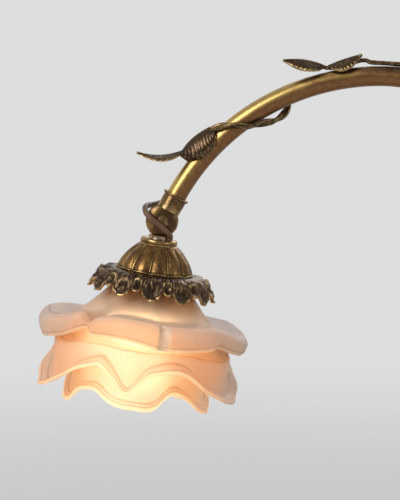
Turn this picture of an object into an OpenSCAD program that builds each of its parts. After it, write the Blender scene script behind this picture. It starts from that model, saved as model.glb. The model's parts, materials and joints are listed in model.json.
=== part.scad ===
// Table lamp with a swan-neck arm, a leafy vine wound round it, and a frosted rose shade on a tilting knuckle.
// Millimetres. The origin is the centre of the foot's underside, +Z is up, and the arm reaches out towards -X.

/* [Arm] */
// Outer diameter of the brass arm tube
tube_d = 14; // [12:0.5:16]
// Wall of the arm tube
tube_wall = 1.5; // [1:0.25:2]
// Height of the top of the arch, at the middle of the tube
arch_top = 432; // [410:1:450]
// How far the top of the arch lies towards the head from the stem
arch_offset = 52; // [45:1:60]
// Radius of the arch on the head's side
arch_r = 162; // [150:1:175]
// How far the arch turns down from its top to the head's side
arch_turn = 60; // [50:1:65]
// Radius of the arch on the stem's side
back_r = 110; // [100:1:115]
// Radius of the two bends that bring the stem back over the foot
sway_r = 160; // [150:1:180]
// Straight stretch from the end of the arch to the knuckle's pivot
drop_len = 23; // [20:0.5:30]

/* [Knuckle] */
// Diameter of the knuckle's round cheeks
knuckle_d = 22.8; // [21:0.2:24]
// Width of the knuckle over both cheeks
knuckle_w = 16; // [15:0.5:18]
// Thickness of the tongue between the cheeks
tongue_t = 6; // [5:0.2:7]
// Diameter of the pivot screw
pivot_d = 4; // [3:0.1:5]
// Outer diameter of the sleeve that takes the tube
sleeve_d = 16.6; // [16.2:0.2:18.5]
// Length of the sleeve along the tube
sleeve_len = 8.4; // [7:0.2:10]
// Diameter of the raised lip on the sleeve
lip_d = 19; // [18:0.5:20]
// Tilt of the shade's axis away from upright, as it stands
head_tilt = 8.5; // [0:0.5:20]
// Diameter of the threaded stud below the knuckle
stud_d = 10; // [9:0.5:10.5]

/* [Gallery] */
// Diameter of the beaded collar
collar_d = 26; // [26:0.5:30]
// Height of the beaded collar
collar_h = 4.2; // [3.5:0.1:6]
// Diameter of the fluted dome at its foot
dome_d = 54.6; // [50:0.2:60]
// Height of the fluted dome
dome_h = 19; // [17:0.5:22]
// Thickness of the cast dome
dome_wall = 1.8; // [1.4:0.1:2.4]
// Number of flutes in the dome, and of large leaves in the rim
flutes = 12; // [8:2:16]
// Diameter over the leaf rim
rim_d = 88; // [84:1:96]
// How far the leaf rim's tips hang below the dome
rim_drop = 16.5; // [12:0.5:18]
// Thickness of the cast leaves
leaf_t = 1.6; // [1.2:0.1:2.2]

/* [Shade] */
// Diameter over the upper tier of petals
tier_1_d = 146; // [138:1:156]
// Diameter over the middle tier of petals
tier_2_d = 137; // [128:1:142]
// Diameter over the lowest hem
tier_3_d = 99; // [92:1:106]
// Height of the glass from its neck to its lowest hem
shade_h = 85; // [80:1:90]
// Thickness of the glass
glass_t = 2.6; // [2:0.1:3.2]
// Height of the waves in the lowest hem
ruffle = 6; // [3:0.5:7]

/* [Lampholder and bulb] */
// Outer diameter of the lampholder
holder_d = 28; // [27:0.5:30]
// Length of the lampholder below its cap
holder_len = 31; // [29:0.5:34]
// Diameter of the ring that clamps the glass
shade_ring_d = 40; // [36:1:44]
// Diameter of the bulb's globe
bulb_d = 45; // [40:1:48]
// Diameter of the bulb's screw cap
cap_d = 13.8; // [13.6:0.1:14]

/* [Vine] */
// Thickness of the vine
vine_d = 3.6; // [3:0.2:4.4]
// Length of one turn of the vine round the stem
vine_pitch = 95; // [80:1:120]
// Length of the leaves on the stem
stem_leaf_len = 44; // [36:1:50]
// Width of the leaves on the stem
stem_leaf_w = 21; // [16:1:24]

/* [Foot] */
// Diameter of the foot's plinth
foot_d = 176; // [168:1:190]
// Height of the plinth
plinth_h = 11; // [10:0.5:14]
// Thickness of the felt
felt_t = 2; // [1.5:0.1:3]
// Thickness of the steel plate that closes the foot
plate_t = 1.6; // [1.2:0.1:2]
// Diameter of the foot's fluted dome
foot_dome_d = 100; // [92:1:106]
// Height of the foot's fluted dome
foot_dome_h = 24; // [20:0.5:28]
// Thickness of the cast foot
foot_wall = 3; // [2.4:0.1:3.6]
// Gap between the iron weight and the plinth's inner wall
ballast_room = 8; // [6:0.5:12]
// Height of the iron weight's lower step
ballast_step = 9; // [8:0.5:10]
// Diameter of the turned collar where the stem meets the foot
stem_collar_d = 40; // [36:1:46]
// Height of the turned collar
stem_collar_h = 12; // [10:0.5:16]

/* [Lead] */
// Diameter of the two-core lead
flex_d = 4; // [3:0.2:4.2]
// Bore of the inlet bush in the foot
inlet_d = 6.5; // [5.5:0.1:7]

/* [Hidden] */

// Gaps: radial slip between turned pieces, space between faces that lie on each other, and play across the joint
slip = 0.05;
seat = 0.1;
play = 0.35;
rad = 180 / PI;

// ---- The arm's middle line, in the X-Z plane, measured along it from the table ----
tube_r = tube_d / 2;
tube_bore_r = tube_r - tube_wall;
stem_out = back_r - arch_offset;
sway = acos(1 - stem_out / (2 * sway_r));
arch_c = [-arch_offset, arch_top - arch_r];
back_c = [-arch_offset, arch_top - back_r];
sway_z = back_c[1] - 2 * sway_r * sin(sway);
sway_low_c = [sway_r, sway_z];
sway_high_c = [stem_out - sway_r, back_c[1]];
run_turn = sway_z + sway_r * sway / rad;
run_back = run_turn + sway_r * sway / rad;
run_top = run_back + back_r * 90 / rad;

// The lean of the arm away from upright, towards -X
function lean(t) = t < sway_z ? 0
    : t < run_turn ? -(t - sway_z) / sway_r * rad
    : t < run_back ? -(run_back - t) / sway_r * rad
    : t < run_top ? (t - run_back) / back_r * rad
    : 90 + min(arch_turn, (t - run_top) / arch_r * rad);
function out_of_bend(a) = [cos(a), sin(a)];
function middle(t) = t < sway_z ? [0, t]
    : t < run_turn ? sway_low_c - sway_r * out_of_bend(lean(t))
    : t < run_back ? sway_high_c + sway_r * out_of_bend(lean(t))
    : t < run_top ? back_c + back_r * out_of_bend(lean(t))
    : arch_c + arch_r * out_of_bend(lean(t));
// A point beside the arm: turn 0 is the outer side of the bend, 90 is the front
function beside(t, turn, out) = let (m = middle(t), n = out_of_bend(lean(t)))
    [m[0] + out * cos(turn) * n[0], -out * sin(turn), m[1] + out * cos(turn) * n[1]];
function on_arch(a) = run_top + arch_r * a / rad;

drop_dir = [-cos(arch_turn), -sin(arch_turn)];
pivot = arch_c + arch_r * out_of_bend(90 + arch_turn) + drop_len * drop_dir;
module at_knuckle() translate([pivot[0], 0, pivot[1]]) children();
module along_tube() at_knuckle() rotate([0, 90 - arch_turn, 0]) children();
module head() at_knuckle() rotate([0, head_tilt, 0]) children();

// ---- Places down the shade's axis, as distances below the pivot ----
knuckle_r = knuckle_d / 2;
cheek_in = tongue_t / 2 + play;
web_t = 1.3;
flange_s = knuckle_r + 0.3;
flange_r = 7.6;
washer_t = 0.9;
collar_s = flange_s + washer_t;
dome_s = collar_s + collar_h;
dome_foot_s = dome_s + dome_h;
plate_s = dome_s + dome_wall + seat;
gallery_plate_t = 1.5;
nut_s = plate_s + gallery_plate_t + seat;
nut_h = 3.2;
cap_s = nut_s + nut_h + 2 * seat;
cap_plate = 1.4;
stud_end_s = cap_s + 4;
holder_cap_h = 15;
holder_s = cap_s + holder_cap_h + 2 * seat;
holder_r = holder_d / 2;
holder_wall = 1.2;
neck_s = holder_s + 5;
shade_foot_s = neck_s + shade_h;
block_s = cap_s + 7.5;
block_end_s = holder_s + holder_len - 1;
socket_s = holder_s + 6;
stud_r = stud_d / 2;
// The lead drops through the collar to the front right of the stud, and the collar's spigot reaches past its hole
lead_way = 9.8;
lead_turn = -42;
lead_at = lead_way * [cos(lead_turn), sin(lead_turn)];
lead_hole_r = flex_d / 2 + 0.3;
spigot_way = lead_way + lead_hole_r + 0.5;
crown_r = collar_d / 2 + 0.4;
// The lead leaves the sleeve at the back, through the tube's wall
lead_exit = 16.5;
lead_bend_r = 4;
sleeve_foot = knuckle_r + 0.5;
sleeve_floor = 1.6;
cup_foot = 8.6;
tube_end = sleeve_foot + sleeve_floor + seat;
sleeve_end = sleeve_foot + sleeve_len;

// ---- Heights in the foot ----
foot_r = foot_d / 2;
plinth_in_r = foot_r - 10;
plinth_top = felt_t + plinth_h;
inlet_z = felt_t + plinth_h / 2;
ballast_z = felt_t + plate_t + seat;
ballast_r = plinth_in_r - ballast_room;
foot_leaf_drop = 16;
foot_leaf_z = plinth_top + seat + foot_leaf_drop;
foot_dome_z = foot_leaf_z + seat;
foot_crown_z = foot_dome_z + foot_dome_h;
ballast_top = foot_dome_z + 6;
ballast_upper_r = 38;
stem_foot = inlet_z + 3.5;
stem_nut_h = 4;
stem_nut_z = stem_foot + 1;
stem_washer_t = 1.1;
nut_pocket_z = stem_nut_z + stem_nut_h + stem_washer_t + 2 * seat;
nut_pocket_r = 15;
stem_bend_r = 6;
spigot_r = 16;
screw_ring_r = 52;

// ---- Solids from rings of points ----
function quad(a, b, c, d) = [[a, b, c], [a, c, d]];
// Rings that follow each other in a circle
module closed_band(rings) {
    n = len(rings);
    m = len(rings[0]);
    polyhedron(points = [for (ring = rings) each ring],
        faces = [for (i = [0:n - 1], j = [0:m - 1]) let (k = (i + 1) % n, l = (j + 1) % m)
            each quad(i * m + j, k * m + j, k * m + l, i * m + l)]);
}
// Rings along a run, closed at both ends
module capped_run(rings) {
    n = len(rings);
    m = len(rings[0]);
    last = (n - 1) * m;
    polyhedron(points = [for (ring = rings) each ring],
        faces = [for (i = [0:n - 2], j = [0:m - 1]) let (l = (j + 1) % m)
                each quad(i * m + j, (i + 1) * m + j, (i + 1) * m + l, i * m + l),
            for (j = [1:m - 2]) [0, j, j + 1],
            for (j = [1:m - 2]) [last, last + j + 1, last + j]]);
}
function unit(v) = v / norm(v);
function ahead(path, i) = unit(path[min(i + 1, len(path) - 1)] - path[max(i - 1, 0)]);
// Round rings along a path; up is a vector that no part of the path runs along
function round_rings(path, radii, up, sides) = [for (i = [0:len(path) - 1])
    let (t = ahead(path, i), side = unit(cross(t, up)), top = cross(side, t))
    [for (j = [0:sides - 1]) let (a = -360 * j / sides) path[i] + radii[i] * (cos(a) * side + sin(a) * top)]];
// A smooth curve through points, with a number of steps from each to the next
function between(p, i, f) = let (a = p[max(i - 1, 0)], b = p[i], c = p[i + 1], d = p[min(i + 2, len(p) - 1)])
    b + f / 2 * (c - a) + f * f * (a - 2.5 * b + 2 * c - d / 2) + f * f * f / 2 * (3 * (b - c) + d - a);
function smooth(p, steps) = [for (i = [0:len(p) - 2], s = [0:steps - 1]) between(p, i, s / steps), p[len(p) - 1]];
function arc_through(a, b, c, f) = (1 - f) * (1 - f) * a + 2 * f * (1 - f) * b + f * f * c;

// ---- Leaves of the vine ----
// Half the width of a leaf along it: a short stalk, then a pointed oval with a toothed edge
stalk_share = 0.16;
tooth = 0.07;
leaf_tip_half = 0.5;
function oval(f) = pow(sin(180 * pow(f, 0.78)), 0.8);
function leaf_half(f, w, stalk_r, more) = f < stalk_share ? stalk_r
    : max(leaf_tip_half, w / 2 * oval((f - stalk_share) / (1 - stalk_share)) * (1 + more));
leaf_across = [-1, -0.5, 0, 0.5, 1];
function leaf_section(p, side, top, half, t, fold) = concat(
    [for (x = leaf_across) p + side * half * x + top * (t / 2 * (1 - 0.3 * abs(x)) - fold * half * x * x)],
    [for (k = [len(leaf_across) - 1:-1:0]) let (x = leaf_across[k])
        p + side * half * x - top * (t / 2 * (1 - 0.3 * abs(x)) + fold * half * x * x)]);
leaf_steps = 10;
// A leaf that runs from a to c in an arc through b, with its face towards up
function leaf_rings(a, b, c, up, w, fold, stalk_r) =
    let (path = [for (i = [0:leaf_steps]) arc_through(a, b, c, i / leaf_steps)])
    [for (i = [0:leaf_steps])
        let (f = i / leaf_steps, t = ahead(path, i), side = unit(cross(t, up)), top = cross(side, t),
            half = leaf_half(f, w, stalk_r, i % 2 == 0 ? tooth : -tooth),
            thick = f < stalk_share ? 2 * stalk_r : leaf_t)
        leaf_section(path[i], side, top, half, thick, f < stalk_share ? 0 : fold)];

// ---- Fluted domes and leaf rims ----
// Where the ribs, grooves and swells of one flute lie, as shares of it, with their depth
flute_cut = [[0, 0.35], [0.05, -0.75], [0.2, -0.15], [0.5, 0], [0.8, -0.15], [0.95, -0.75]];
// The dome's outline from its crown to its foot is a slightly swelling cone, worked out as radius and depth
dome_steps = 5;
dome_bulge = 1;
function dome_line(top_r, end_r, h, f) = [top_r + (end_r - top_r) * f + dome_bulge * sin(180 * f), h * f];
// A dome with a flat crown at depth 0, above and below, and a round hole in it
function dome_rings(hole_r, top_r, end_r, h, wall, deep) = [for (k = [0:flutes - 1], cut = flute_cut)
    let (a = 360 * (k + cut[0]) / flutes)
    [for (p = concat([[hole_r, 0, 0]],
            [for (i = [0:dome_steps]) let (f = i / dome_steps) [each dome_line(top_r, end_r, h, f), min(1, 3 * f)]],
            [for (i = [dome_steps:-1:0])
                [each dome_line(top_r, end_r - wall, h - wall, i / dome_steps) + [0, wall], 0.4 * min(1, i)]],
            [[hole_r, wall, 0]]))
        let (r = p[0] + deep * cut[1] * p[2]) [r * cos(a), r * sin(a), -p[1]]]];
// One large and one small leaf of a rim: share of the module, reach of the edge, and swell
rim_cut = [[0, 1, 1], [0.1, 0.99, 0.8], [0.2, 0.93, 0.2], [0.31, 0.62, -0.9], [0.4, 0.8, 0], [0.5, 0.86, 0.5],
    [0.6, 0.8, 0], [0.69, 0.62, -0.9], [0.8, 0.93, 0.2], [0.9, 0.99, 0.8]];
rim_steps = 5;
// The rim's outline runs flat out from the dome's foot and then turns down to its tips
function rim_line(in_r, out_r, drop, f) =
    [in_r + (out_r - in_r) * sin(90 * min(1, f * 1.12)), drop * pow(f, 2.4)];
function rim_rings(in_r, out_r, drop, wall, swell) = [for (k = [0:flutes - 1], cut = rim_cut)
    let (a = 360 * (k + cut[0]) / flutes)
    [for (side = [0, 1], i = [0:rim_steps]) let (f = (side == 0 ? i : rim_steps - i) / rim_steps * cut[1],
            p = rim_line(in_r, out_r, drop, f), under = side * wall * [-0.8 * f, -1 + 0.5 * f],
            r = p[0] + under[0] + swell * cut[2] * f)
        [r * cos(a), r * sin(a), -p[1] + under[1]]]];

// ---- The glass ----
neck_hole_r = holder_r + 0.9;
body_r = tier_3_d / 2 - 3.5;
tier_1_root = [body_r - 8, 16];
tier_1_tip = [tier_1_d / 2, 39];
tier_2_root = [body_r + 0.5, 40];
tier_2_tip = [tier_2_d / 2, 63];
hem_s = shade_h - ruffle;
wave_counts = [4, 5, 5];
wave_turns = [0, 47, 54];
wave_shares = [0.5, 1.5, 1];
around_shade = 80;
function wave(tier, a) = wave_shares[tier] * cos(wave_counts[tier] * (a - wave_turns[tier]));
function petal(root, tip, f) =
    [root[0] + (tip[0] - root[0]) * sin(90 * f), root[1] + (tip[1] - root[1]) * (1 - cos(90 * f))];
function tier_share(tier, f) = [for (k = [0:2]) k == tier ? f * f : 0];
// Rows of the glass's section: radius, depth, and how far each of the three tiers' waves moves it
function tier_rows(root, tip, tier) = concat(
    [for (f = [0.25, 0.5, 0.7, 0.86, 1]) [each petal(root, tip, f), tier_share(tier, f)]],
    [[tip[0] - 0.8 * glass_t, tip[1] + 0.2 * glass_t, tier_share(tier, 1)]],
    [for (f = [0.84, 0.66, 0.45, 0.22])
        [each petal(root, tip, f) + glass_t * [-0.75 * f, 1.1 - 0.5 * f], tier_share(tier, f)]]);
// The glass is flat where the ring clamps it, and slopes from there to the first petals
flat_r = shade_ring_d / 2 + 1;
function slope(f, inset) = [flat_r + (tier_1_root[0] - flat_r) * f - 0.75 * inset,
    tier_1_root[1] * pow(f, 1.25) + 0.55 * inset];
still = [0, 0, 0];
function hem(f) = [0, 0, f];
// The skirt hangs from the body to the lowest hem; its inner face follows at the glass's thickness
skirt_rows = [[1, 52, still], [0.8, hem_s - 16, hem(0.25)], [1.5, hem_s - 7, hem(0.7)],
    [tier_3_d / 2 - body_r, hem_s, hem(1)]];
inside_rows = [[tier_3_d / 2 - body_r, hem_s, hem(1)], [1.5, hem_s - 8, hem(0.7)], [0.8, hem_s - 17, hem(0.25)],
    [0.6, 48, still], [0.2, 36, still], [-1.5, 25, still]];
shade_rows = concat(
    [[neck_hole_r, 0, still]], [for (f = [0:0.25:0.75]) [each slope(f, 0), still]],
    tier_rows(tier_1_root, tier_1_tip, 0),
    [[body_r - 1, 25, still], [body_r + 0.5, 36, still]],
    tier_rows(tier_2_root, tier_2_tip, 1),
    [for (row = skirt_rows) [body_r + row[0], row[1], row[2]]],
    [for (row = inside_rows) [body_r - glass_t + row[0], row[1], row[2]]],
    [[each slope(0.85, glass_t), still], [each slope(0.5, glass_t), still], [each slope(0.2, glass_t + 0.8), still],
        [flat_r - 0.4, glass_t, still], [neck_hole_r, glass_t, still]]);
shade_rings = [for (k = [0:around_shade - 1]) let (a = 360 * k / around_shade)
    [for (row = shade_rows) let (sway_down = row[2] * [for (t = [0:2]) wave(t, a)],
            r = row[0] + 0.3 * ruffle * sway_down)
        [r * cos(a), r * sin(a), -row[1] - ruffle * sway_down]]];

// ---- Parts turned or bent round an axis ----
module ring(out_r, in_r, h) {
    difference() {
        cylinder(h = h, r = out_r, $fn = 96);
        translate([0, 0, -1]) cylinder(h = h + 2, r = in_r, $fn = 96);
    }
}
module bend(centre, r, from, turn) {
    translate([centre[0], 0, centre[1]]) rotate([90, 0, 0]) rotate([0, 0, from])
        rotate_extrude(angle = turn, $fn = 180) translate([r, 0]) children();
}
// A round rod or bore along the arm, from a height in the foot to a distance above the pivot. Its stretches differ
// by a hair in radius, and the thinner one reaches a little into its neighbour, so that they join into one solid.
hair = 0.02;
lap = 0.2;
module arm_rod(r, foot, end) {
    sway_lap = lap / sway_r * rad;
    arch_lap = lap / arch_r * rad;
    translate([0, 0, foot]) cylinder(h = sway_z - foot, r = r, $fn = 64);
    bend(sway_low_c, sway_r, 180 - sway - sway_lap, sway + 2 * sway_lap) circle(r = r - hair, $fn = 64);
    bend(sway_high_c, sway_r, -sway, sway) circle(r = r, $fn = 64);
    bend(back_c, back_r, -sway_lap, 90 + sway_lap) circle(r = r - hair, $fn = 64);
    bend(arch_c, arch_r, 90 - arch_lap, arch_turn + 2 * arch_lap) circle(r = r - 2 * hair, $fn = 64);
    along_tube() translate([0, 0, end]) cylinder(h = drop_len - end, r = r, $fn = 64);
}
module hex_nut(across, h, bore) {
    difference() {
        cylinder(h = h, r = across / 2 / cos(30), $fn = 6);
        translate([0, 0, -1]) cylinder(h = h + 2, r = bore, $fn = 64);
    }
}
module lead_hole(top, h) {
    translate([lead_at[0], lead_at[1], -top - h]) cylinder(h = h, r = lead_hole_r, $fn = 48);
}
module down(s) translate([0, 0, -s]) children();

// ---- Foot ----
felt_inset = 4;
module felt_pad() {
    color("darkolivegreen") cylinder(h = felt_t, r = foot_r - felt_inset, $fn = 96);
}
module at_screws() {
    for (k = [0:2]) rotate([0, 0, 30 + 120 * k]) translate([screw_ring_r, 0, felt_t]) children();
}
screw_head_r = 3.6;
screw_r = 1.9;
screw_len = 10;
module bottom_plate() {
    color("silver") difference() {
        translate([0, 0, felt_t]) cylinder(h = plate_t, r = plinth_in_r - seat, $fn = 96);
        at_screws() {
            translate([0, 0, -1]) cylinder(h = plate_t + 2, r = screw_r + seat, $fn = 32);
            translate([0, 0, -1]) cylinder(h = plate_t / 2 + 1, r = screw_head_r + seat, $fn = 32);
        }
    }
}
module plate_screws() {
    color("gray") at_screws() {
        cylinder(h = plate_t / 2 - seat, r = screw_head_r, $fn = 32);
        cylinder(h = screw_len, r = screw_r, $fn = 32);
    }
}
lead_groove = 5.4;
module ballast_weight() {
    color("dimgray") difference() {
        union() {
            translate([0, 0, ballast_z]) cylinder(h = ballast_step, r = ballast_r, $fn = 96);
            translate([0, 0, ballast_z]) cylinder(h = ballast_top - ballast_z, r = ballast_upper_r, $fn = 96);
        }
        translate([0, 0, -1]) cylinder(h = foot_crown_z, r = tube_r + 0.3, $fn = 64);
        translate([0, 0, -1]) cylinder(h = nut_pocket_z + 1, r = nut_pocket_r, $fn = 64);
        translate([-lead_groove / 2, 0, -1]) cube([lead_groove, foot_r, inlet_z + flex_d / 2 + 1.5]);
        at_screws() translate([0, 0, -1]) cylinder(h = screw_len + 2, r = screw_r + slip, $fn = 32);
    }
}
// The plinth is a turned ring with two beads at its edge, and a thin cover rises from it under the leaves
plinth_bead = 3.2;
plinth_edge_r = foot_r - plinth_bead;
cover_r = ballast_r + 1.2;
cover_in_r = ballast_upper_r + 4;
cover_t = 2.2;
cover_top = foot_leaf_z - foot_wall - 0.8;
cover_line = [[cover_r, plinth_top], [cover_r - 1, plinth_top + 3.6], [cover_r - 5, plinth_top + 7.4],
    [foot_dome_d / 2 + 3, cover_top - 0.8], [cover_in_r, cover_top]];
module base_plinth() {
    color("peru") difference() {
        rotate_extrude($fn = 128) {
            polygon(concat([[plinth_in_r, felt_t], [plinth_edge_r, felt_t], [plinth_edge_r, plinth_top],
                [cover_r + cover_t, plinth_top]], [for (p = cover_line) if (p[1] > plinth_top) p + [cover_t, 0]],
                [for (i = [len(cover_line) - 1:-1:0]) cover_line[i] - [0, cover_t]],
                [[plinth_in_r, plinth_top - cover_t]]));
            translate([plinth_edge_r, felt_t + plinth_bead]) circle(r = plinth_bead, $fn = 32);
            translate([plinth_edge_r - 0.6, plinth_top - plinth_bead + 0.7])
                circle(r = plinth_bead - 0.7, $fn = 32);
        }
        at_inlet() translate([0, 0, -2]) cylinder(h = 20, r = bush_r + slip, $fn = 48);
    }
}
// The bush lies in the plinth's wall, and its flange stands outside
bush_r = inlet_d / 2 + 1.25;
bush_flange_r = inlet_d / 2 + 2.1;
bush_flange_t = 2.5;
bush_len = foot_r - plinth_in_r;
module at_inlet() translate([0, plinth_in_r, inlet_z]) rotate([-90, 0, 0]) children();
module cord_bush() {
    color("saddlebrown") at_inlet() difference() {
        union() {
            cylinder(h = bush_len + bush_flange_t, r = bush_r, $fn = 48);
            translate([0, 0, bush_len + seat]) cylinder(h = bush_flange_t - seat, r = bush_flange_r, $fn = 48);
        }
        translate([0, 0, -1]) cylinder(h = bush_len + bush_flange_t + 2, r = inlet_d / 2, $fn = 48);
    }
}
foot_swell = 1.6;
module base_leaf_ring() {
    color("saddlebrown") translate([0, 0, foot_leaf_z])
        closed_band(rim_rings(foot_dome_d / 2 - 5, foot_r - 7, foot_leaf_drop - foot_wall / 2, foot_wall,
            foot_swell));
}
module base_dome() {
    color("peru") translate([0, 0, foot_crown_z])
        closed_band(dome_rings(spigot_r + 2 * seat, stem_collar_d / 2 + 1, foot_dome_d / 2, foot_dome_h, foot_wall,
            foot_swell));
}
spacer_top = foot_crown_z - foot_wall - seat;
spacer_flange_t = 2;
module stem_spacer() {
    color("silver") {
        translate([0, 0, ballast_top + seat]) ring(tube_r + 5, tube_r + 0.3, spacer_top - ballast_top - seat);
        translate([0, 0, spacer_top - spacer_flange_t]) ring(spigot_r + 4, tube_r + 0.3, spacer_flange_t);
    }
}
module stem_washer() {
    color("silver") translate([0, 0, stem_nut_z + stem_nut_h + seat])
        ring(nut_pocket_r - 1, tube_r + slip, stem_washer_t);
}
stem_nut_across = 22;
module stem_nut() {
    color("darkgoldenrod") translate([0, 0, stem_nut_z]) hex_nut(stem_nut_across, stem_nut_h, tube_r + slip);
}
low_bead_r = 1.6;
top_bead_r = 1.5;
module stem_collar() {
    low_way = stem_collar_d / 2 - low_bead_r;
    top_way = tube_r + 3.4;
    waist_top = stem_collar_h - 2.5;
    color("goldenrod") translate([0, 0, foot_crown_z]) difference() {
        union() {
            rotate_extrude($fn = 96) {
                translate([0, seat]) square([low_way, 2 * low_bead_r]);
                translate([low_way, seat + low_bead_r]) circle(r = low_bead_r, $fn = 32);
                polygon([[0, 3], [low_way - 2.4, 3], [tube_r + 4, 5.5], [tube_r + 3, waist_top], [0, waist_top]]);
                translate([0, stem_collar_h - 2 * top_bead_r]) square([top_way, 2 * top_bead_r]);
                translate([top_way, stem_collar_h - top_bead_r]) circle(r = top_bead_r, $fn = 32);
            }
            translate([0, 0, -foot_wall + seat]) cylinder(h = foot_wall, r = spigot_r, $fn = 64);
        }
        translate([0, 0, -10]) cylinder(h = 10 + stem_collar_h + 1, r = tube_r + slip, $fn = 64);
    }
}

// ---- Arm ----
module arm_tube() {
    color("goldenrod") difference() {
        arm_rod(tube_r, stem_foot, tube_end);
        arm_bore();
        along_tube() translate([0, 0, lead_exit]) rotate([-90, 0, 0])
            cylinder(h = tube_r + 2, r = lead_hole_r, $fn = 32);
    }
}
module arm_bore() {
    arm_rod(tube_bore_r, stem_foot - 1, tube_end - 1);
}
// A quarter bend of the lead, from straight below its centre round to the front of it
module quarter_bend(r) {
    quarter_lap = lap / r * rad;
    mirror([0, 1, 0]) rotate([0, 90, 0]) rotate([0, 0, -quarter_lap])
        rotate_extrude(angle = 90 + 2 * quarter_lap, $fn = 96)
            translate([r, 0]) circle(r = flex_d / 2 - hair, $fn = 32);
}
module lead_back(start, end) {
    translate([0, start, 0]) rotate([-90, 0, 0]) cylinder(h = end - start, r = flex_d / 2, $fn = 32);
}
// The lead comes in along the foot, bends up into the stem and leaves at the back of the sleeve
module arm_flex() {
    color("sienna") {
        translate([0, 0, inlet_z]) {
            lead_back(stem_bend_r, plinth_in_r - 2 - seat);
            translate([0, stem_bend_r, stem_bend_r]) quarter_bend(stem_bend_r);
        }
        arm_rod(flex_d / 2, inlet_z + stem_bend_r, lead_exit + lead_bend_r);
        along_tube() translate([0, 0, lead_exit]) {
            translate([0, lead_bend_r, lead_bend_r]) quarter_bend(lead_bend_r);
            lead_back(lead_bend_r, sleeve_d / 2);
        }
    }
}

// ---- Vine ----
vine_r = vine_d / 2;
vine_out = tube_r + vine_r + 0.25;
vine_foot = foot_crown_z + stem_collar_h + 2;
vine_join = run_top - 16;
vine_rings = 86;
vine_sides = 8;
function stem_turn(t) = (vine_join - t) / vine_pitch * 360;
stem_path = [for (i = [0:vine_rings]) let (t = vine_foot + (vine_join - vine_foot) * i / vine_rings)
    beside(t, stem_turn(t), vine_out)];
module vine_stem() {
    color("saddlebrown") capped_run(round_rings(stem_path,
        [for (i = [0:vine_rings]) vine_r * min(1, 0.5 + i / 12)], [0, 1, 0.02], vine_sides));
}
// Leaves stand out from the vine along the stem, each on a short stalk that starts at the vine's outer side
stem_leaf_places = [96, 152, 214, 286, 356];
stem_leaf_fold = 0.25;
stalk_r = 1.4;
stalk_gap = 0.6;
module stem_leaves() {
    color("saddlebrown") for (t = stem_leaf_places) {
        turn = stem_turn(t);
        outward = unit(beside(t, turn, 2) - beside(t, turn, 1));
        along = unit(beside(t + 1, turn, vine_out) - beside(t, turn, vine_out));
        base = beside(t, turn, vine_out + vine_r + stalk_gap);
        mid = base + (0.35 * outward + 0.2 * along) * stem_leaf_len;
        tip = base + (0.5 * outward + 0.8 * along) * stem_leaf_len;
        capped_run(leaf_rings(base, mid, tip, 1.2 * outward - along, stem_leaf_w, stem_leaf_fold, stalk_r - 0.1));
    }
}
// The crown sprig runs over the top of the arch and ends in two leaves
crown_run = [[vine_join + 0.9, 0, 0], [run_top - 8, 6, 0], [run_top, 3, 0.1], [run_top + 6, 0, 0.6],
    [run_top + 12, -4, 2.4]];
crown_leaf_len = 31;
crown_back_len = 26;
crown_leaf_w = 20;
crown_back_w = 18;
crown_leaf_at = beside(on_arch(12.3), 0, tube_r + 4.6);
module vine_crown() {
    route = concat([for (p = crown_run) beside(p[0], p[1], vine_out + p[2])],
        [crown_leaf_at + [6, 1.6, 0.4], crown_leaf_at + [0, 1.2, 0.3]]);
    path = smooth(route, 3);
    radii = [for (i = [0:len(path) - 1]) vine_r * (1 - 0.25 * i / len(path))];
    front_mid = crown_leaf_at + crown_leaf_len * [-0.484, -0.032, 0.061];
    front_tip = crown_leaf_at + crown_leaf_len * [-0.99, -0.065, 0.097];
    back_mid = crown_leaf_at + crown_back_len * [0.423, 0.038, 0.15];
    back_tip = crown_leaf_at + crown_back_len * [0.938, -0.115, 0.308];
    color("saddlebrown") {
        capped_run(round_rings(path, radii, [0, 1, 0.02], vine_sides));
        capped_run(leaf_rings(crown_leaf_at, front_mid, front_tip, [0, -0.35, 1], crown_leaf_w, 0.35, stalk_r));
        capped_run(leaf_rings(crown_leaf_at + [-1, 0, -0.2], back_mid, back_tip, [-0.3, -0.3, 1], crown_back_w, 0.4,
            stalk_r));
    }
}
// The end sprig comes from behind the arch, hangs below it, crosses its front and ends in a leaf beyond it:
// angle along the arch, turn round the tube, and how far it stands off the tube
end_run = [[20, 262, 0], [22.5, 232, 0.2], [25, 203, 0.6], [27.5, 183, 2.6], [30, 168, 2.2], [32.5, 153, 0.6],
    [35.5, 124, 0], [38, 84, 0], [40.5, 48, 0.1], [43, 22, 0.6]];
module vine_end() {
    path = smooth([for (p = end_run) beside(on_arch(p[0]), p[1], vine_out + p[2])], 3);
    radii = [for (i = [0:len(path) - 1]) vine_r * min(1, 0.6 + i / 6)];
    color("saddlebrown") capped_run(round_rings(path, radii, [0, 1, 0.02], vine_sides));
}
// The draped leaf lies over the tube like a saddle, and its stalk runs on into the leaf beyond it
drape_from = 43.6;
drape_to = 54;
drape_steps = 10;
drape_turn = 14;
drape_half = 76;
drape_tip_half = 7;
drape_gap = 0.5;
drape_lift = 2.4;
drape_tip_lift = 5;
function drape_width(f) = max(drape_tip_half, drape_half * pow(sin(180 * pow(f, 0.8)), 0.8));
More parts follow.
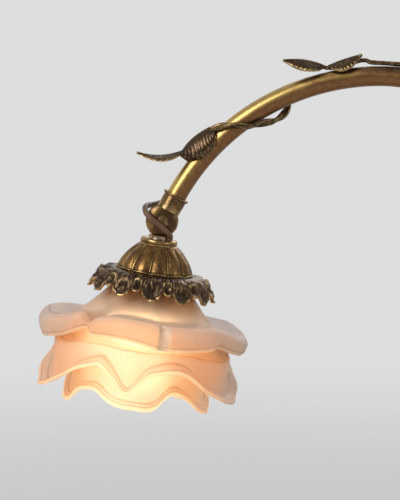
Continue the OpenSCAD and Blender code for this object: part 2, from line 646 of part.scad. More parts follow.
// One ring over the leaf's upper face from its front edge to its back edge, and back along the lower face
drape_rings = [for (i = [0:drape_steps])
    let (f = i / drape_steps, t = on_arch(drape_from + (drape_to - drape_from) * f),
        half = drape_width(f) * (i % 2 == 0 ? 1.05 : 0.95),
        lift = drape_lift + (drape_tip_lift - drape_lift) * f * f)
    [for (side = [0, 1], k = [0:6]) let (x = (side == 0 ? k - 3 : 3 - k) / 3)
        beside(t, drape_turn - x * half, tube_r + drape_gap + lift * (1 - x * x) + (side == 0 ? leaf_t : 0))]];
end_leaf_len = 35.5;
end_leaf_w = 17;
end_leaf_at = beside(on_arch(50.9), -5.4, tube_r + 3.6);
module draped_leaf() {
    mid = end_leaf_at + end_leaf_len * [-0.468, -0.028, -0.225];
    tip = end_leaf_at + end_leaf_len * [-0.992, -0.056, -0.045];
    color("saddlebrown") {
        capped_run(drape_rings);
        capped_run(leaf_rings(end_leaf_at, mid, tip, [0, -0.1, 1], end_leaf_w, 0.25, stalk_r));
    }
}

// ---- Knuckle ----
lip_t = 1.7;
neck_w = 13;
cheek_steps = 8;
cheek_out = knuckle_w / 2;
// The outline of the knuckle's ball, grown by some room, on one side of its middle
function ball_side(room) = [for (i = [0:cheek_steps]) let (a = 90 * i / cheek_steps)
    [(knuckle_r + room) * cos(a), cheek_in + 1 + (cheek_out - cheek_in - 1 + room) * sin(a)]];
// The sleeve's lower end is hollowed so that it hugs the ball without touching it
module ball_room() {
    side = ball_side(play);
    rotate_extrude($fn = 96)
        polygon(concat([for (i = [cheek_steps:-1:0]) [side[i][0], -side[i][1]]], side));
}
module knuckle_upper() {
    color("sienna") difference() {
        union() {
            at_knuckle() rotate([90, 0, 0])
                cylinder(h = tongue_t, r = flange_s - web_t - play - seat, center = true, $fn = 96);
            along_tube() {
                translate([-neck_w / 2, -tongue_t / 2, 0]) cube([neck_w, tongue_t, sleeve_foot + 0.5]);
                difference() {
                    translate([0, 0, cup_foot]) cylinder(h = sleeve_end - cup_foot, r = sleeve_d / 2, $fn = 96);
                    rotate([90, 0, 0]) ball_room();
                }
                translate([0, 0, sleeve_end - lip_t]) rotate_extrude($fn = 96) {
                    square([lip_d / 2 - lip_t / 2, lip_t]);
                    translate([lip_d / 2 - lip_t / 2, lip_t / 2]) circle(r = lip_t / 2, $fn = 32);
                }
            }
        }
        at_knuckle() rotate([90, 0, 0])
            cylinder(h = tongue_t + 2, r = pivot_d / 2 + slip, center = true, $fn = 64);
        along_tube() {
            translate([0, 0, sleeve_foot + sleeve_floor]) cylinder(h = sleeve_len + 1, r = tube_r + slip, $fn = 96);
            translate([0, 0, lead_exit]) rotate([-90, 0, 0]) cylinder(h = sleeve_d, r = lead_hole_r, $fn = 32);
        }
    }
}
spot_r = 3.7;
spot_depth = 0.5;
// A cheek is flat inside and domed outside, with a flat spot for the screw's head or its nut
module cheek_dome() {
    rotate_extrude($fn = 96) polygon(concat([[0, cheek_in], [knuckle_r, cheek_in]], ball_side(0)));
}
module knuckle_lower() {
    color("sienna") head() difference() {
        union() {
            for (side = [0, 1]) mirror([0, side, 0]) rotate([-90, 0, 0]) cheek_dome();
            down(flange_s) cylinder(h = web_t, r = flange_r, $fn = 96);
            down(stud_end_s) cylinder(h = stud_end_s - flange_s + 0.5, r = stud_r, $fn = 64);
        }
        rotate([90, 0, 0]) cylinder(h = 2 * knuckle_w, r = pivot_d / 2 + slip, center = true, $fn = 64);
        for (side = [0, 1]) mirror([0, side, 0]) translate([0, cheek_out - spot_depth, 0])
            rotate([-90, 0, 0]) cylinder(h = 5, r = spot_r, $fn = 64);
    }
}
module friction_washers() {
    color("black") head() for (side = [0, 1]) mirror([0, side, 0])
        translate([0, tongue_t / 2 + seat, 0]) rotate([-90, 0, 0])
            ring(knuckle_r - 3, pivot_d / 2 + slip, play - 2 * slip - seat);
}
screw_dome = 1.8;
screw_edge_r = spot_r - 0.3;
screw_over = 1.6;
module pivot_screw() {
    color("goldenrod") head() rotate([90, 0, 0]) difference() {
        union() {
            translate([0, 0, -cheek_out - screw_over])
                cylinder(h = 2 * cheek_out + screw_over - spot_depth, r = pivot_d / 2, $fn = 64);
            translate([0, 0, cheek_out - spot_depth]) rotate_extrude($fn = 64)
                polygon([[0, 0], [screw_edge_r, 0], [screw_edge_r, 0.6], [2.6, 1.5], [1.3, screw_dome],
                    [0, screw_dome]]);
        }
        translate([-5, -0.4, cheek_out - spot_depth + screw_dome - 0.8]) cube([10, 0.8, 2]);
    }
}
pivot_nut_across = 6.2;
pivot_nut_h = 2.4;
module pivot_nut() {
    color("goldenrod") head() translate([0, cheek_out - spot_depth + slip, 0]) rotate([-90, 0, 0])
        hex_nut(pivot_nut_across, pivot_nut_h, pivot_d / 2 + slip);
}
// The bare lead: from the hole in the sleeve round the knuckle's left side, across its front, and to the collar
flex_way = [[8.25, 8.7, 14.3], [8.25, 9.8, 14.3], [8.1, 11.7, 14.2], [6.8, 13.9, 13.6], [4.1, 15.2, 12.6],
    [0.4, 15.3, 11.4], [-4.2, 13.2, 10.3], [-8.5, 8.9, 10], [-11.1, 2.7, 9.9], [-11.8, -3.5, 8.7],
    [-10.6, -8.8, 5.7], [-6.2, -11.4, 1.3], [-1.4, -11.5, -2.4], [2, -11.3, -5.6], [4.5, -9.9, -8.2],
    [5.75, -7.9, -10.3]];
lead_straight = 1.7;
lead_gap = 0.2;
module knuckle_flex() {
    lead_top = [lead_at[0] * cos(head_tilt) - collar_s * sin(head_tilt), lead_at[1],
        -lead_at[0] * sin(head_tilt) - collar_s * cos(head_tilt)];
    up = [sin(head_tilt), 0, cos(head_tilt)];
    path = smooth(concat(flex_way, [lead_top + lead_straight * up, lead_top + lead_gap * up]), 2);
    color("sienna") at_knuckle() capped_run(round_rings(path, [for (p = path) flex_d / 2], [0.3, 0.1, 1], 8));
}

// ---- Gallery ----
module neck_washer() {
    color("silver") head() down(collar_s) ring(flange_r - 0.15, stud_r + slip, washer_t - 2 * slip);
}
collar_bead_way = collar_d / 2 - collar_h / 2 + 0.2;
module collar_ring() {
    color("goldenrod") head() difference() {
        rotate_extrude($fn = 96) {
            translate([0, -dome_s + slip]) square([collar_bead_way + 0.4, collar_h - 2 * slip]);
            translate([collar_bead_way, -dome_s + collar_h / 2]) circle(r = collar_h / 2 - slip, $fn = 48);
            translate([0, -dome_s - dome_wall + slip]) square([spigot_way, dome_wall + 0.5]);
        }
        down(dome_s + 5) cylinder(h = 12, r = stud_r + slip, $fn = 64);
        lead_hole(collar_s - 1, collar_h + dome_wall + 2);
    }
}
dome_swell = 1;
module gallery_dome() {
    color("darkgoldenrod") head() down(dome_s)
        closed_band(dome_rings(spigot_way + seat, crown_r, dome_d / 2, dome_h, dome_wall, dome_swell));
}
rim_swell = 1.2;
module gallery_leaf_rim() {
    color("saddlebrown") head() down(dome_foot_s + seat)
        closed_band(rim_rings(dome_d / 2 - 2, rim_d / 2 - rim_swell, rim_drop, leaf_t, rim_swell));
}
module gallery_plate() {
    color("silver") head() difference() {
        down(plate_s + gallery_plate_t) cylinder(h = gallery_plate_t, r = crown_r - 2 * slip, $fn = 96);
        down(plate_s + 3) cylinder(h = 5, r = stud_r + slip, $fn = 64);
        lead_hole(plate_s - 1, gallery_plate_t + 2);
    }
}
stud_nut_across = 14;
module stud_nut() {
    color("darkgoldenrod") head() down(nut_s + nut_h) hex_nut(stud_nut_across, nut_h, stud_r + slip);
}

// ---- Lampholder ----
module holder_cap() {
    color("goldenrod") head() difference() {
        union() {
            down(cap_s + cap_plate) cylinder(h = cap_plate, r = holder_r, $fn = 96);
            down(cap_s + holder_cap_h) ring(holder_r, holder_r - 1, holder_cap_h);
            down(cap_s + 4) cylinder(h = 4, r = stud_r + 2, $fn = 64);
        }
        down(cap_s + 6) cylinder(h = 8, r = stud_r + slip, $fn = 64);
        lead_hole(cap_s - 1, cap_plate + 2);
    }
}
block_r = holder_r - holder_wall - seat;
thread_r = cap_d / 2 + 0.35;
terminal_r = 1.7;
contact_r = 1.9;
contact_t = 0.8;
module at_terminals() {
    for (side = [0, 180]) rotate([0, 0, side]) translate([lead_at[0], lead_at[1], 0]) children();
}
module holder_insulator() {
    color("ivory") head() difference() {
        down(block_end_s) cylinder(h = block_end_s - block_s, r = block_r, $fn = 96);
        down(block_end_s + 1) cylinder(h = block_end_s + 1 - socket_s, r = thread_r + 0.6 + seat, $fn = 96);
        down(block_end_s) cylinder(h = 60, r = contact_r + slip, $fn = 32);
        at_terminals() down(block_s + 6) cylinder(h = 7, r = terminal_r + slip, $fn = 32);
    }
}
module holder_terminals() {
    color("gold") head() at_terminals() down(block_s + 6 - slip) cylinder(h = 6, r = terminal_r, $fn = 32);
}
module head_flex() {
    color("sienna") head() translate([lead_at[0], lead_at[1], 0]) down(block_s - slip)
        cylinder(h = block_s - collar_s - 2 * slip, r = flex_d / 2, $fn = 32);
}
module holder_thread() {
    color("gold") head() down(socket_s + 17) ring(thread_r + 0.6, thread_r, 17 - seat);
}
module holder_contact() {
    color("gold") head() {
        down(socket_s) cylinder(h = socket_s - block_s - 2, r = contact_r, $fn = 32);
        down(socket_s + contact_t) cylinder(h = contact_t, r = 4, $fn = 48);
    }
}
thread_pitch = 2.6;
module holder_skirt() {
    color("gainsboro") head() difference() {
        union() {
            down(holder_s + holder_len) cylinder(h = holder_len, r = holder_r, $fn = 96);
            for (k = [0:5]) down(neck_s + 4 + thread_pitch * k) rotate_extrude($fn = 96)
                polygon([[0, -0.9], [holder_r, -0.9], [holder_r + 0.5, 0], [holder_r, 0.9], [0, 0.9]]);
            down(neck_s - seat) cylinder(h = 1.5, r = holder_r + 5, $fn = 96);
        }
        down(holder_s + holder_len + 1) cylinder(h = holder_len + 2, r = holder_r - holder_wall, $fn = 96);
    }
}
shade_ring_h = 6.4;
module shade_ring() {
    color("gainsboro") head() difference() {
        union() {
            down(neck_s + glass_t + seat + 1.8) cylinder(h = 1.8, r = shade_ring_d / 2, $fn = 96);
            down(neck_s + glass_t + seat + shade_ring_h) cylinder(h = shade_ring_h, r = holder_r + 2.6, $fn = 96);
        }
        down(neck_s + glass_t + shade_ring_h + 1)
            cylinder(h = shade_ring_h + 2, r = holder_r + 0.5 + slip, $fn = 96);
    }
}

// ---- Glass and bulb ----
module glass_shade() {
    color([1, 0.84, 0.74, 0.6]) head() down(neck_s) closed_band(shade_rings);
}
cap_top_s = socket_s + contact_t + seat;
tip_h = 1.6;
cap_h = 22;
cap_wall = 0.5;
module bulb_tip() {
    color("dimgray") head() {
        down(cap_top_s + tip_h) cylinder(h = tip_h - 0.6, r1 = cap_d / 2 - 1, r2 = 3, $fn = 48);
        down(cap_top_s + 0.6) cylinder(h = 0.6, r = 2.4, $fn = 32);
    }
}
module bulb_cap() {
    color("silver") head() down(cap_top_s + tip_h + seat + cap_h) difference() {
        union() {
            cylinder(h = cap_h, r = cap_d / 2, $fn = 64);
            cylinder(h = 2.4, r = cap_d / 2 + 1, $fn = 64);
        }
        translate([0, 0, -1]) cylinder(h = cap_h + 1 - cap_wall, r = cap_d / 2 - cap_wall, $fn = 64);
    }
}
globe_r = bulb_d / 2;
bulb_neck_r = cap_d / 2 + 0.8;
bulb_wall = 0.8;
envelope_s = cap_top_s + tip_h + seat + cap_h + seat;
globe_s = envelope_s + globe_r + 5;
// The globe's outline, drawn in by a wall from the outer face: round below, and running into the neck above
globe_steps = 14;
function globe_line(inset) = let (r = globe_r - inset, neck = bulb_neck_r - inset, a0 = 52)
    concat([for (i = [0:globe_steps]) let (a = -90 + (90 + a0) * i / globe_steps) [r * cos(a), r * sin(a)]],
        [[neck + 1.6, globe_r * 0.98], [neck, globe_r + 3], [neck, globe_r + 5]]);
module bulb_envelope() {
    color([1, 0.95, 0.85, 0.5]) head() down(globe_s) rotate_extrude($fn = 96)
        polygon(concat(globe_line(0), [for (i = [len(globe_line(0)) - 1:-1:0]) globe_line(bulb_wall)[i]]));
}
stem_len = 16;
module bulb_stem() {
    color([1, 0.95, 0.85, 0.5]) head() {
        down(envelope_s + seat + stem_len) cylinder(h = stem_len + 6, r = 2, $fn = 32);
        down(envelope_s + 0.3) cylinder(h = 1.2, r = bulb_neck_r - bulb_wall - 1, $fn = 48);
    }
}
filament_drop = 12;
filament_lean = 40;
wire_r = 0.3;
module bulb_filament() {
    color("orange") head() down(envelope_s + seat + stem_len) {
        for (side = [-1, 1]) rotate([0, 180 - side * filament_lean, 0]) translate([0, 0, 1.2])
            cylinder(h = filament_drop - 1.2, r = wire_r, $fn = 16);
        down(filament_drop * cos(filament_lean)) rotate([90, 0, 0])
            rotate_extrude(angle = 180, $fn = 64)
                translate([filament_drop * sin(filament_lean), 0]) circle(r = 2 * wire_r, $fn = 24);
    }
}

// ---- All pieces ----
felt_pad();
bottom_plate();
plate_screws();
ballast_weight();
base_plinth();
base_leaf_ring();
base_dome();
stem_spacer();
stem_washer();
stem_nut();
stem_collar();
cord_bush();
arm_tube();
arm_flex();
knuckle_upper();
vine_stem();
stem_leaves();
vine_crown();
vine_end();
draped_leaf();
knuckle_lower();
friction_washers();
pivot_screw();
pivot_nut();
knuckle_flex();
neck_washer();
collar_ring();
gallery_dome();
gallery_leaf_rim();
gallery_plate();
stud_nut();
holder_cap();
holder_terminals();
head_flex();
holder_insulator();
holder_thread();
holder_contact();
holder_skirt();
shade_ring();
glass_shade();
bulb_cap();
bulb_tip();
bulb_envelope();
bulb_stem();
bulb_filament();
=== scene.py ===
import json
import math

import bmesh
import bpy
import numpy as np
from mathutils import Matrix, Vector

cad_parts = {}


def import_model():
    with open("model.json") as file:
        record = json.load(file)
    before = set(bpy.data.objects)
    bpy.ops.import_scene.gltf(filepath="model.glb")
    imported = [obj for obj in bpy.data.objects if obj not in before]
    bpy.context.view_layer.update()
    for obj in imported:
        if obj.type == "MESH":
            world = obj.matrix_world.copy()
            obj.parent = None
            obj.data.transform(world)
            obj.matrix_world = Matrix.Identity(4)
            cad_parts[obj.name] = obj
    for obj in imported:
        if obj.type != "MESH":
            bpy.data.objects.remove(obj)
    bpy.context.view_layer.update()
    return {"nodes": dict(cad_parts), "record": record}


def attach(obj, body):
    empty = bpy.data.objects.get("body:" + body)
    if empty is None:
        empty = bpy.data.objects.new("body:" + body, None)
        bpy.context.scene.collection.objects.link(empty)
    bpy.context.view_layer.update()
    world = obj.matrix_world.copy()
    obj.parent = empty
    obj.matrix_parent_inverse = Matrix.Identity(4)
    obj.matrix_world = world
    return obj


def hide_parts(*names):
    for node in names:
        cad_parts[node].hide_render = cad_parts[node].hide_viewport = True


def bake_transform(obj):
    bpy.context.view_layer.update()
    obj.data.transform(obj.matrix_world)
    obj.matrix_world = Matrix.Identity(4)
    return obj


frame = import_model()
nodes = frame["nodes"]
MM = 0.001

# ---- Camera: level with the shade and a little above it, seen from the front through a long lens ----
PHOTO_HEIGHT = 0.350
CAMERA_WAY = 2.0
CAMERA_RISE = math.radians(6.5)
LOOKS_AT = Vector((-0.1773, 0.0, 0.3103))


def camera():
    data = bpy.data.cameras.new("camera")
    data.sensor_width = 36
    data.lens = data.sensor_width * CAMERA_WAY / PHOTO_HEIGHT
    data.clip_end = 60
    made = bpy.data.objects.new("camera", data)
    bpy.context.scene.collection.objects.link(made)
    back = Vector((0, -math.cos(CAMERA_RISE), math.sin(CAMERA_RISE)))
    made.location = LOOKS_AT + CAMERA_WAY * back
    made.rotation_euler = (-back).to_track_quat("-Z", "Y").to_euler()
    bpy.context.scene.camera = made


camera()

# ---- The arm's middle line, in the X-Z plane, measured along it from the table ----
TUBE_R = 7.0
ARCH_TOP, ARCH_OFFSET, ARCH_R, ARCH_TURN = 432.0, 52.0, 162.0, 60.0
BACK_R, SWAY_R, DROP_LEN = 110.0, 160.0, 23.0
STEM_OUT = BACK_R - ARCH_OFFSET
SWAY = math.degrees(math.acos(1 - STEM_OUT / (2 * SWAY_R)))
ARCH_C = np.array([-ARCH_OFFSET, ARCH_TOP - ARCH_R])
BACK_C = np.array([-ARCH_OFFSET, ARCH_TOP - BACK_R])
SWAY_Z = BACK_C[1] - 2 * SWAY_R * math.sin(math.radians(SWAY))
SWAY_LOW_C = np.array([SWAY_R, SWAY_Z])
SWAY_HIGH_C = np.array([STEM_OUT - SWAY_R, BACK_C[1]])
RUN_TURN = SWAY_Z + SWAY_R * math.radians(SWAY)
RUN_BACK = RUN_TURN + SWAY_R * math.radians(SWAY)
RUN_TOP = RUN_BACK + BACK_R * math.radians(90)


def lean(t):
    """The lean of the arm away from upright, in degrees, at a distance along it"""
    if t < SWAY_Z:
        return 0.0
    if t < RUN_TURN:
        return -math.degrees((t - SWAY_Z) / SWAY_R)
    if t < RUN_BACK:
        return -math.degrees((RUN_BACK - t) / SWAY_R)
    if t < RUN_TOP:
        return math.degrees((t - RUN_BACK) / BACK_R)
    return 90 + min(ARCH_TURN, math.degrees((t - RUN_TOP) / ARCH_R))


def out_of_bend(degrees):
    """The direction straight out of a bend, from its centre, where the arm leans by so many degrees"""
    a = math.radians(degrees)
    return np.array([math.cos(a), math.sin(a)])


def middle(t):
    """The middle of the arm at a distance along it, as X and Z"""
    if t < SWAY_Z:
        return np.array([0.0, t])
    if t < RUN_TURN:
        return SWAY_LOW_C - SWAY_R * out_of_bend(lean(t))
    if t < RUN_BACK:
        return SWAY_HIGH_C + SWAY_R * out_of_bend(lean(t))
    if t < RUN_TOP:
        return BACK_C + BACK_R * out_of_bend(lean(t))
    return ARCH_C + ARCH_R * out_of_bend(lean(t))


def beside(t, turn, out):
    """A point beside the arm: turn 0 is the outer side of the bend, 90 is the front"""
    m, n, a = middle(t), out_of_bend(lean(t)), math.radians(turn)
    return np.array([m[0] + out * math.cos(a) * n[0], -out * math.sin(a), m[1] + out * math.cos(a) * n[1]])


def on_arch(degrees):
    """The distance along the arm to a place so many degrees past the arch's top"""
    return RUN_TOP + ARCH_R * math.radians(degrees)


PIVOT = ARCH_C + ARCH_R * out_of_bend(90 + ARCH_TURN) - DROP_LEN * out_of_bend(ARCH_TURN)
HEAD_TILT = math.radians(8.5)


def head(points):
    """Points given round the shade's axis, with the pivot at the origin, in their place on the lamp"""
    p = np.asarray(points, float)
    x, y, z = p[..., 0], p[..., 1], p[..., 2]
    c, s = math.cos(HEAD_TILT), math.sin(HEAD_TILT)
    return np.stack([PIVOT[0] + x * c + z * s, y, PIVOT[1] - x * s + z * c], -1)


# ---- Meshes from rings of points ----
def ring_faces(n, m):
    """Faces of n rings of m points each, where the rings follow each other in a circle"""
    return [(i * m + j, (i + 1) % n * m + j, (i + 1) % n * m + (j + 1) % m, i * m + (j + 1) % m)
            for i in range(n) for j in range(m)]


def run_faces(n, m):
    """Faces of n rings of m points each along a run, closed at both ends"""
    sides = [(i * m + j, (i + 1) * m + j, (i + 1) * m + (j + 1) % m, i * m + (j + 1) % m)
             for i in range(n - 1) for j in range(m)]
    return sides + [tuple(range(m)), tuple(range((n - 1) * m, n * m))[::-1]]


def closed(rings):
    """A part whose rings follow each other in a circle"""
    rings = np.array(rings)
    return rings, ring_faces(*rings.shape[:2])


def ended(rings):
    """A part whose rings lie along a run"""
    rings = np.array(rings)
    return rings, run_faces(*rings.shape[:2])


def turned(r, z, a):
    """A section of radii and depths, turned to an angle about the axis"""
    return np.stack([r * np.cos(a), r * np.sin(a), -z], -1)


def piece(name, parts, body, slot, replaces=(), attributes=None):
    """One object from a list of parts, each rings and faces, riding on a body, with the finish of its slot"""
    points, faces = [], []
    for rings, part_faces in parts:
        start = len(points)
        points += (np.reshape(rings, (-1, 3)) * MM).tolist()
        faces += [tuple(start + k for k in face) for face in part_faces]
    mesh = bpy.data.meshes.new(name)
    mesh.from_pydata(points, [], faces)
    for key, values in (attributes or {}).items():
        layer = mesh.attributes.new(key, "FLOAT", "POINT")
        layer.data.foreach_set("value", np.ravel(values).astype(np.float32))
    work = bmesh.new()
    work.from_mesh(mesh)
    bmesh.ops.recalc_face_normals(work, faces=work.faces)
    work.to_mesh(mesh)
    work.free()
    mesh.shade_smooth()
    mesh.materials.append(FINISHES[slot])
    made = bpy.data.objects.new(name, mesh)
    bpy.context.scene.collection.objects.link(made)
    if body:
        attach(made, body)
    if replaces:
        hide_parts(*replaces)
    return made


def unit(v):
    return v / np.linalg.norm(v)


def smooth_path(points, steps):
    """A smooth curve through points, with a number of steps from each to the next"""
    p = np.asarray(points, float)
    last = len(p) - 1
    made = []
    for i in range(last):
        a, b, c, d = p[max(i - 1, 0)], p[i], p[i + 1], p[min(i + 2, last)]
        for f in np.arange(steps) / steps:
            made.append(b + f / 2 * (c - a) + f * f * (a - 2.5 * b + 2 * c - d / 2)
                        + f ** 3 / 2 * (3 * (b - c) + d - a))
    return np.array(made + [p[last]])


def directions(path):
    """The way that a path runs at each of its points"""
    ahead = np.empty_like(path)
    ahead[1:-1] = path[2:] - path[:-2]
    ahead[0], ahead[-1] = path[1] - path[0], path[-1] - path[-2]
    return ahead / np.linalg.norm(ahead, axis=1, keepdims=True)


def round_rings(path, radii, up, sides, lobes=0.0):
    """Round rings along a path; lobes gives the section a soft uneven outline, as a cast vine has"""
    rings = []
    for i, (p, t) in enumerate(zip(path, directions(path))):
        side = unit(np.cross(t, up))
        top = np.cross(side, t)
        a = 2 * np.pi * np.arange(sides) / sides
        r = radii[i] * (1 + lobes * np.sin(3 * a + 0.16 * i) + 0.5 * lobes * np.sin(2 * a - 0.09 * i))
        rings.append(p + np.outer(r * np.cos(a), side) + np.outer(r * np.sin(a), top))
    return np.array(rings)


def soft_step(x, low, high):
    """0 below low, 1 above high, and a smooth rise between"""
    f = np.clip((x - low) / (high - low), 0, 1)
    return f * f * (3 - 2 * f)


def bell(x, width):
    """1 at 0, and down to nothing on both sides"""
    return np.exp(-(x / width) ** 2)


# ---- Shader effects, each a node group ----
# Pointiness is 0.5 on flat metal, more on high places and less in hollows
JUST_RAISED, JUST_HOLLOW = 0.505, 0.497


class Graph:
    """Adds nodes to one node tree, and links or sets their sockets"""

    def __init__(self, tree):
        self.tree = tree

    def feed(self, socket, value):
        if isinstance(value, bpy.types.NodeSocket):
            self.tree.links.new(value, socket)
        elif isinstance(value, (tuple, list)) and socket.type == "RGBA" and len(value) == 3:
            socket.default_value = (*value, 1)
        else:
            socket.default_value = value

    def node(self, kind, inputs=None, **settings):
        made = self.tree.nodes.new(kind)
        for key, value in settings.items():
            setattr(made, key, value)
        for key, value in (inputs or {}).items():
            self.feed(made.inputs[key], value)
        return made

    def math(self, operation, a, b=0.0, c=0.0):
        return self.node("ShaderNodeMath", {0: a, 1: b, 2: c}, operation=operation).outputs[0]

    def between(self, value, low, high, to_low=0.0, to_high=1.0):
        """Goes smoothly from one value to another while the given value goes from low to high"""
        ends = {"Value": value, "From Min": low, "From Max": high, "To Min": to_low, "To Max": to_high}
        return self.node("ShaderNodeMapRange", ends, interpolation_type="SMOOTHSTEP").outputs[0]

    def mix(self, share, a, b):
        return self.node("ShaderNodeMix", {0: share, 6: a, 7: b}, data_type="RGBA").outputs[2]

    def attribute(self, name):
        return self.node("ShaderNodeAttribute", attribute_name=name).outputs["Fac"]

    def place(self, stretch=None, turn=(0, 0, 0)):
        """Places on the piece itself, which stay with it when it moves"""
        where = self.node("ShaderNodeTexCoord").outputs["Object"]
        if stretch is None:
            return where
        ways = {"Vector": where, "Scale": stretch, "Rotation": turn}
        return self.node("ShaderNodeMapping", ways).outputs[0]

    def noise(self, scale, detail=3.0, rough=0.5, where=None, warp=0.0):
        look = {"Scale": scale, "Detail": detail, "Roughness": rough, "Distortion": warp}
        return self.node("ShaderNodeTexNoise", {"Vector": where or self.place(), **look}).outputs[0]

    def wander(self, scale, low, high, detail=3.0):
        """A value that drifts between two others"""
        return self.between(self.noise(scale, detail), 0.3, 0.7, low, high)

    def effect(self, group, **values):
        """Places an effect in a material; the names of its sockets have spaces for underscores"""
        made = self.node("ShaderNodeGroup", node_tree=group)
        for key, value in values.items():
            self.feed(made.inputs[key.replace("_", " ")], value)
        return made.outputs


def effect_group(**inputs):
    """Makes a node group of the function below it, which gives back the group's outputs by name"""
    def make(effect):
        group = bpy.data.node_groups.new(effect.__name__, "ShaderNodeTree")
        for key, value in inputs.items():
            kind = "NodeSocketFloat" if isinstance(value, float) else "NodeSocketColor"
            group.interface.new_socket(name=key, in_out="INPUT", socket_type=kind).default_value = value
        g = Graph(group)
        made = effect(g, g.node("NodeGroupInput").outputs)
        for key in made:
            kind = "NodeSocketColor" if key == "Colour" else "NodeSocketFloat"
            group.interface.new_socket(name=key, in_out="OUTPUT", socket_type=kind)
        g.node("NodeGroupOutput", made)
        return group
    return make


@effect_group(Size=60.0, Share=0.5, Under=0.3)
def clouds_and_underside_shade(g, given):
    """Where tarnishing lies, in clouds of two sizes, plus painted shade on faces that look down in proportion
    to Under
    """
    clouds = g.noise(given["Size"], 4, 0.6, warp=0.6)
    fine = g.noise(g.math("MULTIPLY", given["Size"], 6.0), 3, 0.65)
    both = g.math("MULTIPLY_ADD", fine, 0.35, clouds)
    # Faces that look down: a positive Under lays painted shade on them, a negative one keeps the mask off
    # them so that upper faces look lit
    up = g.node("ShaderNodeSeparateXYZ", {0: g.node("ShaderNodeNewGeometry").outputs["Normal"]}).outputs[2]
    down = g.between(up, 0.5, -0.7)
    raised = g.math("MULTIPLY_ADD", down, given["Under"], both)
    low = g.math("SUBTRACT", 1.12, given["Share"])
    return {"Mask": g.between(raised, low, g.math("ADD", low, 0.32))}


@effect_group(Sharpness=0.08, Breakup=0.04)
def rubbed_edges(g, given):
    """Where hands and cloths have rubbed the edges and high places bright"""
    point = g.node("ShaderNodeNewGeometry").outputs["Pointiness"]
    broken = g.math("MULTIPLY_ADD", g.math("SUBTRACT", g.noise(300.0, 3), 0.5), given["Breakup"], point)
    return {"Mask": g.between(broken, JUST_RAISED, g.math("ADD", JUST_RAISED, given["Sharpness"]))}


@effect_group(Reach=0.006, Share=0.5)
def hollow_grime_and_shade(g, given):
    """Where grime and old polish have settled, in hollows and along seams, and painted shade that darkens the
    same hollows from ambient occlusion
    """
    shade = g.node("ShaderNodeAmbientOcclusion", {"Distance": given["Reach"]}, samples=8).outputs["AO"]
    point = g.node("ShaderNodeNewGeometry").outputs["Pointiness"]
    crease = g.between(point, JUST_HOLLOW, 0.44)
    open_air = g.between(g.math("MULTIPLY_ADD", g.noise(180.0, 3), 0.3, shade), 0.35, 1.05)
    deep = g.math("SUBTRACT", 1.0, open_air)
    both = g.math("MULTIPLY", g.math("ADD", deep, crease), given["Share"])
    return {"Mask": g.math("MINIMUM", 1.0, both)}


@effect_group(Size=900.0, Depth=0.3)
def fine_scratches(g, given):
    """Fine scratches in two directions, as depth and as a mask"""
    one = g.noise(given["Size"], 2, 0.6, g.place((1, 1, 0.06), (0.5, 0.2, 0)))
    other = g.noise(given["Size"], 2, 0.6, g.place((0.06, 1, 1), (0, 0.4, 0.7)))
    lines = g.math("MAXIMUM", g.between(one, 0.62, 0.75), g.between(other, 0.64, 0.76))
    return {"Height": g.math("MULTIPLY", lines, g.math("MULTIPLY", given["Depth"], -1.0)), "Mask": lines}


@effect_group(Size=400.0, Pits=0.5)
def cast_grain(g, given):
    """The soft unevenness of a sand casting, with a few pits"""
    swell = g.noise(given["Size"], 4, 0.6)
    finer = g.math("MULTIPLY", given["Size"], 1.4)
    cells = g.node("ShaderNodeTexVoronoi", {"Vector": g.place(), "Scale": finer})
    pits = g.between(cells.outputs["Distance"], 0.0, 0.28)
    return {"Height": g.math("MULTIPLY_ADD", pits, given["Pits"], swell)}


@effect_group(Colour=(0.5, 0.5, 0.5, 1), Other=(0.4, 0.4, 0.4, 1), Size=40.0)
def colour_drift(g, given):
    """A colour that drifts between two others in clouds"""
    share = g.between(g.noise(given["Size"], 4, 0.6, warp=0.4), 0.32, 0.68)
    return {"Colour": g.mix(share, given["Colour"], given["Other"])}


# ---- Materials ----
def new_material(name, **plain):
    """A material, its graph and its shader's sockets; plain gives the values that are the same all over"""
    made = bpy.data.materials.new(name)
    made.use_nodes = True
    made.node_tree.nodes.clear()
    g = Graph(made.node_tree)
    shader = g.node("ShaderNodeBsdfPrincipled")
    for key, value in plain.items():
        g.feed(shader.inputs[key.replace("_", " ")], value)
    g.node("ShaderNodeOutputMaterial", {"Surface": shader.outputs[0]})
    return made, g, shader.inputs


def bump(g, sockets, height, strength, depth=0.0004):
    made = g.node("ShaderNodeBump", {"Height": height, "Strength": strength, "Distance": depth})
    g.feed(sockets["Normal"], made.outputs[0])


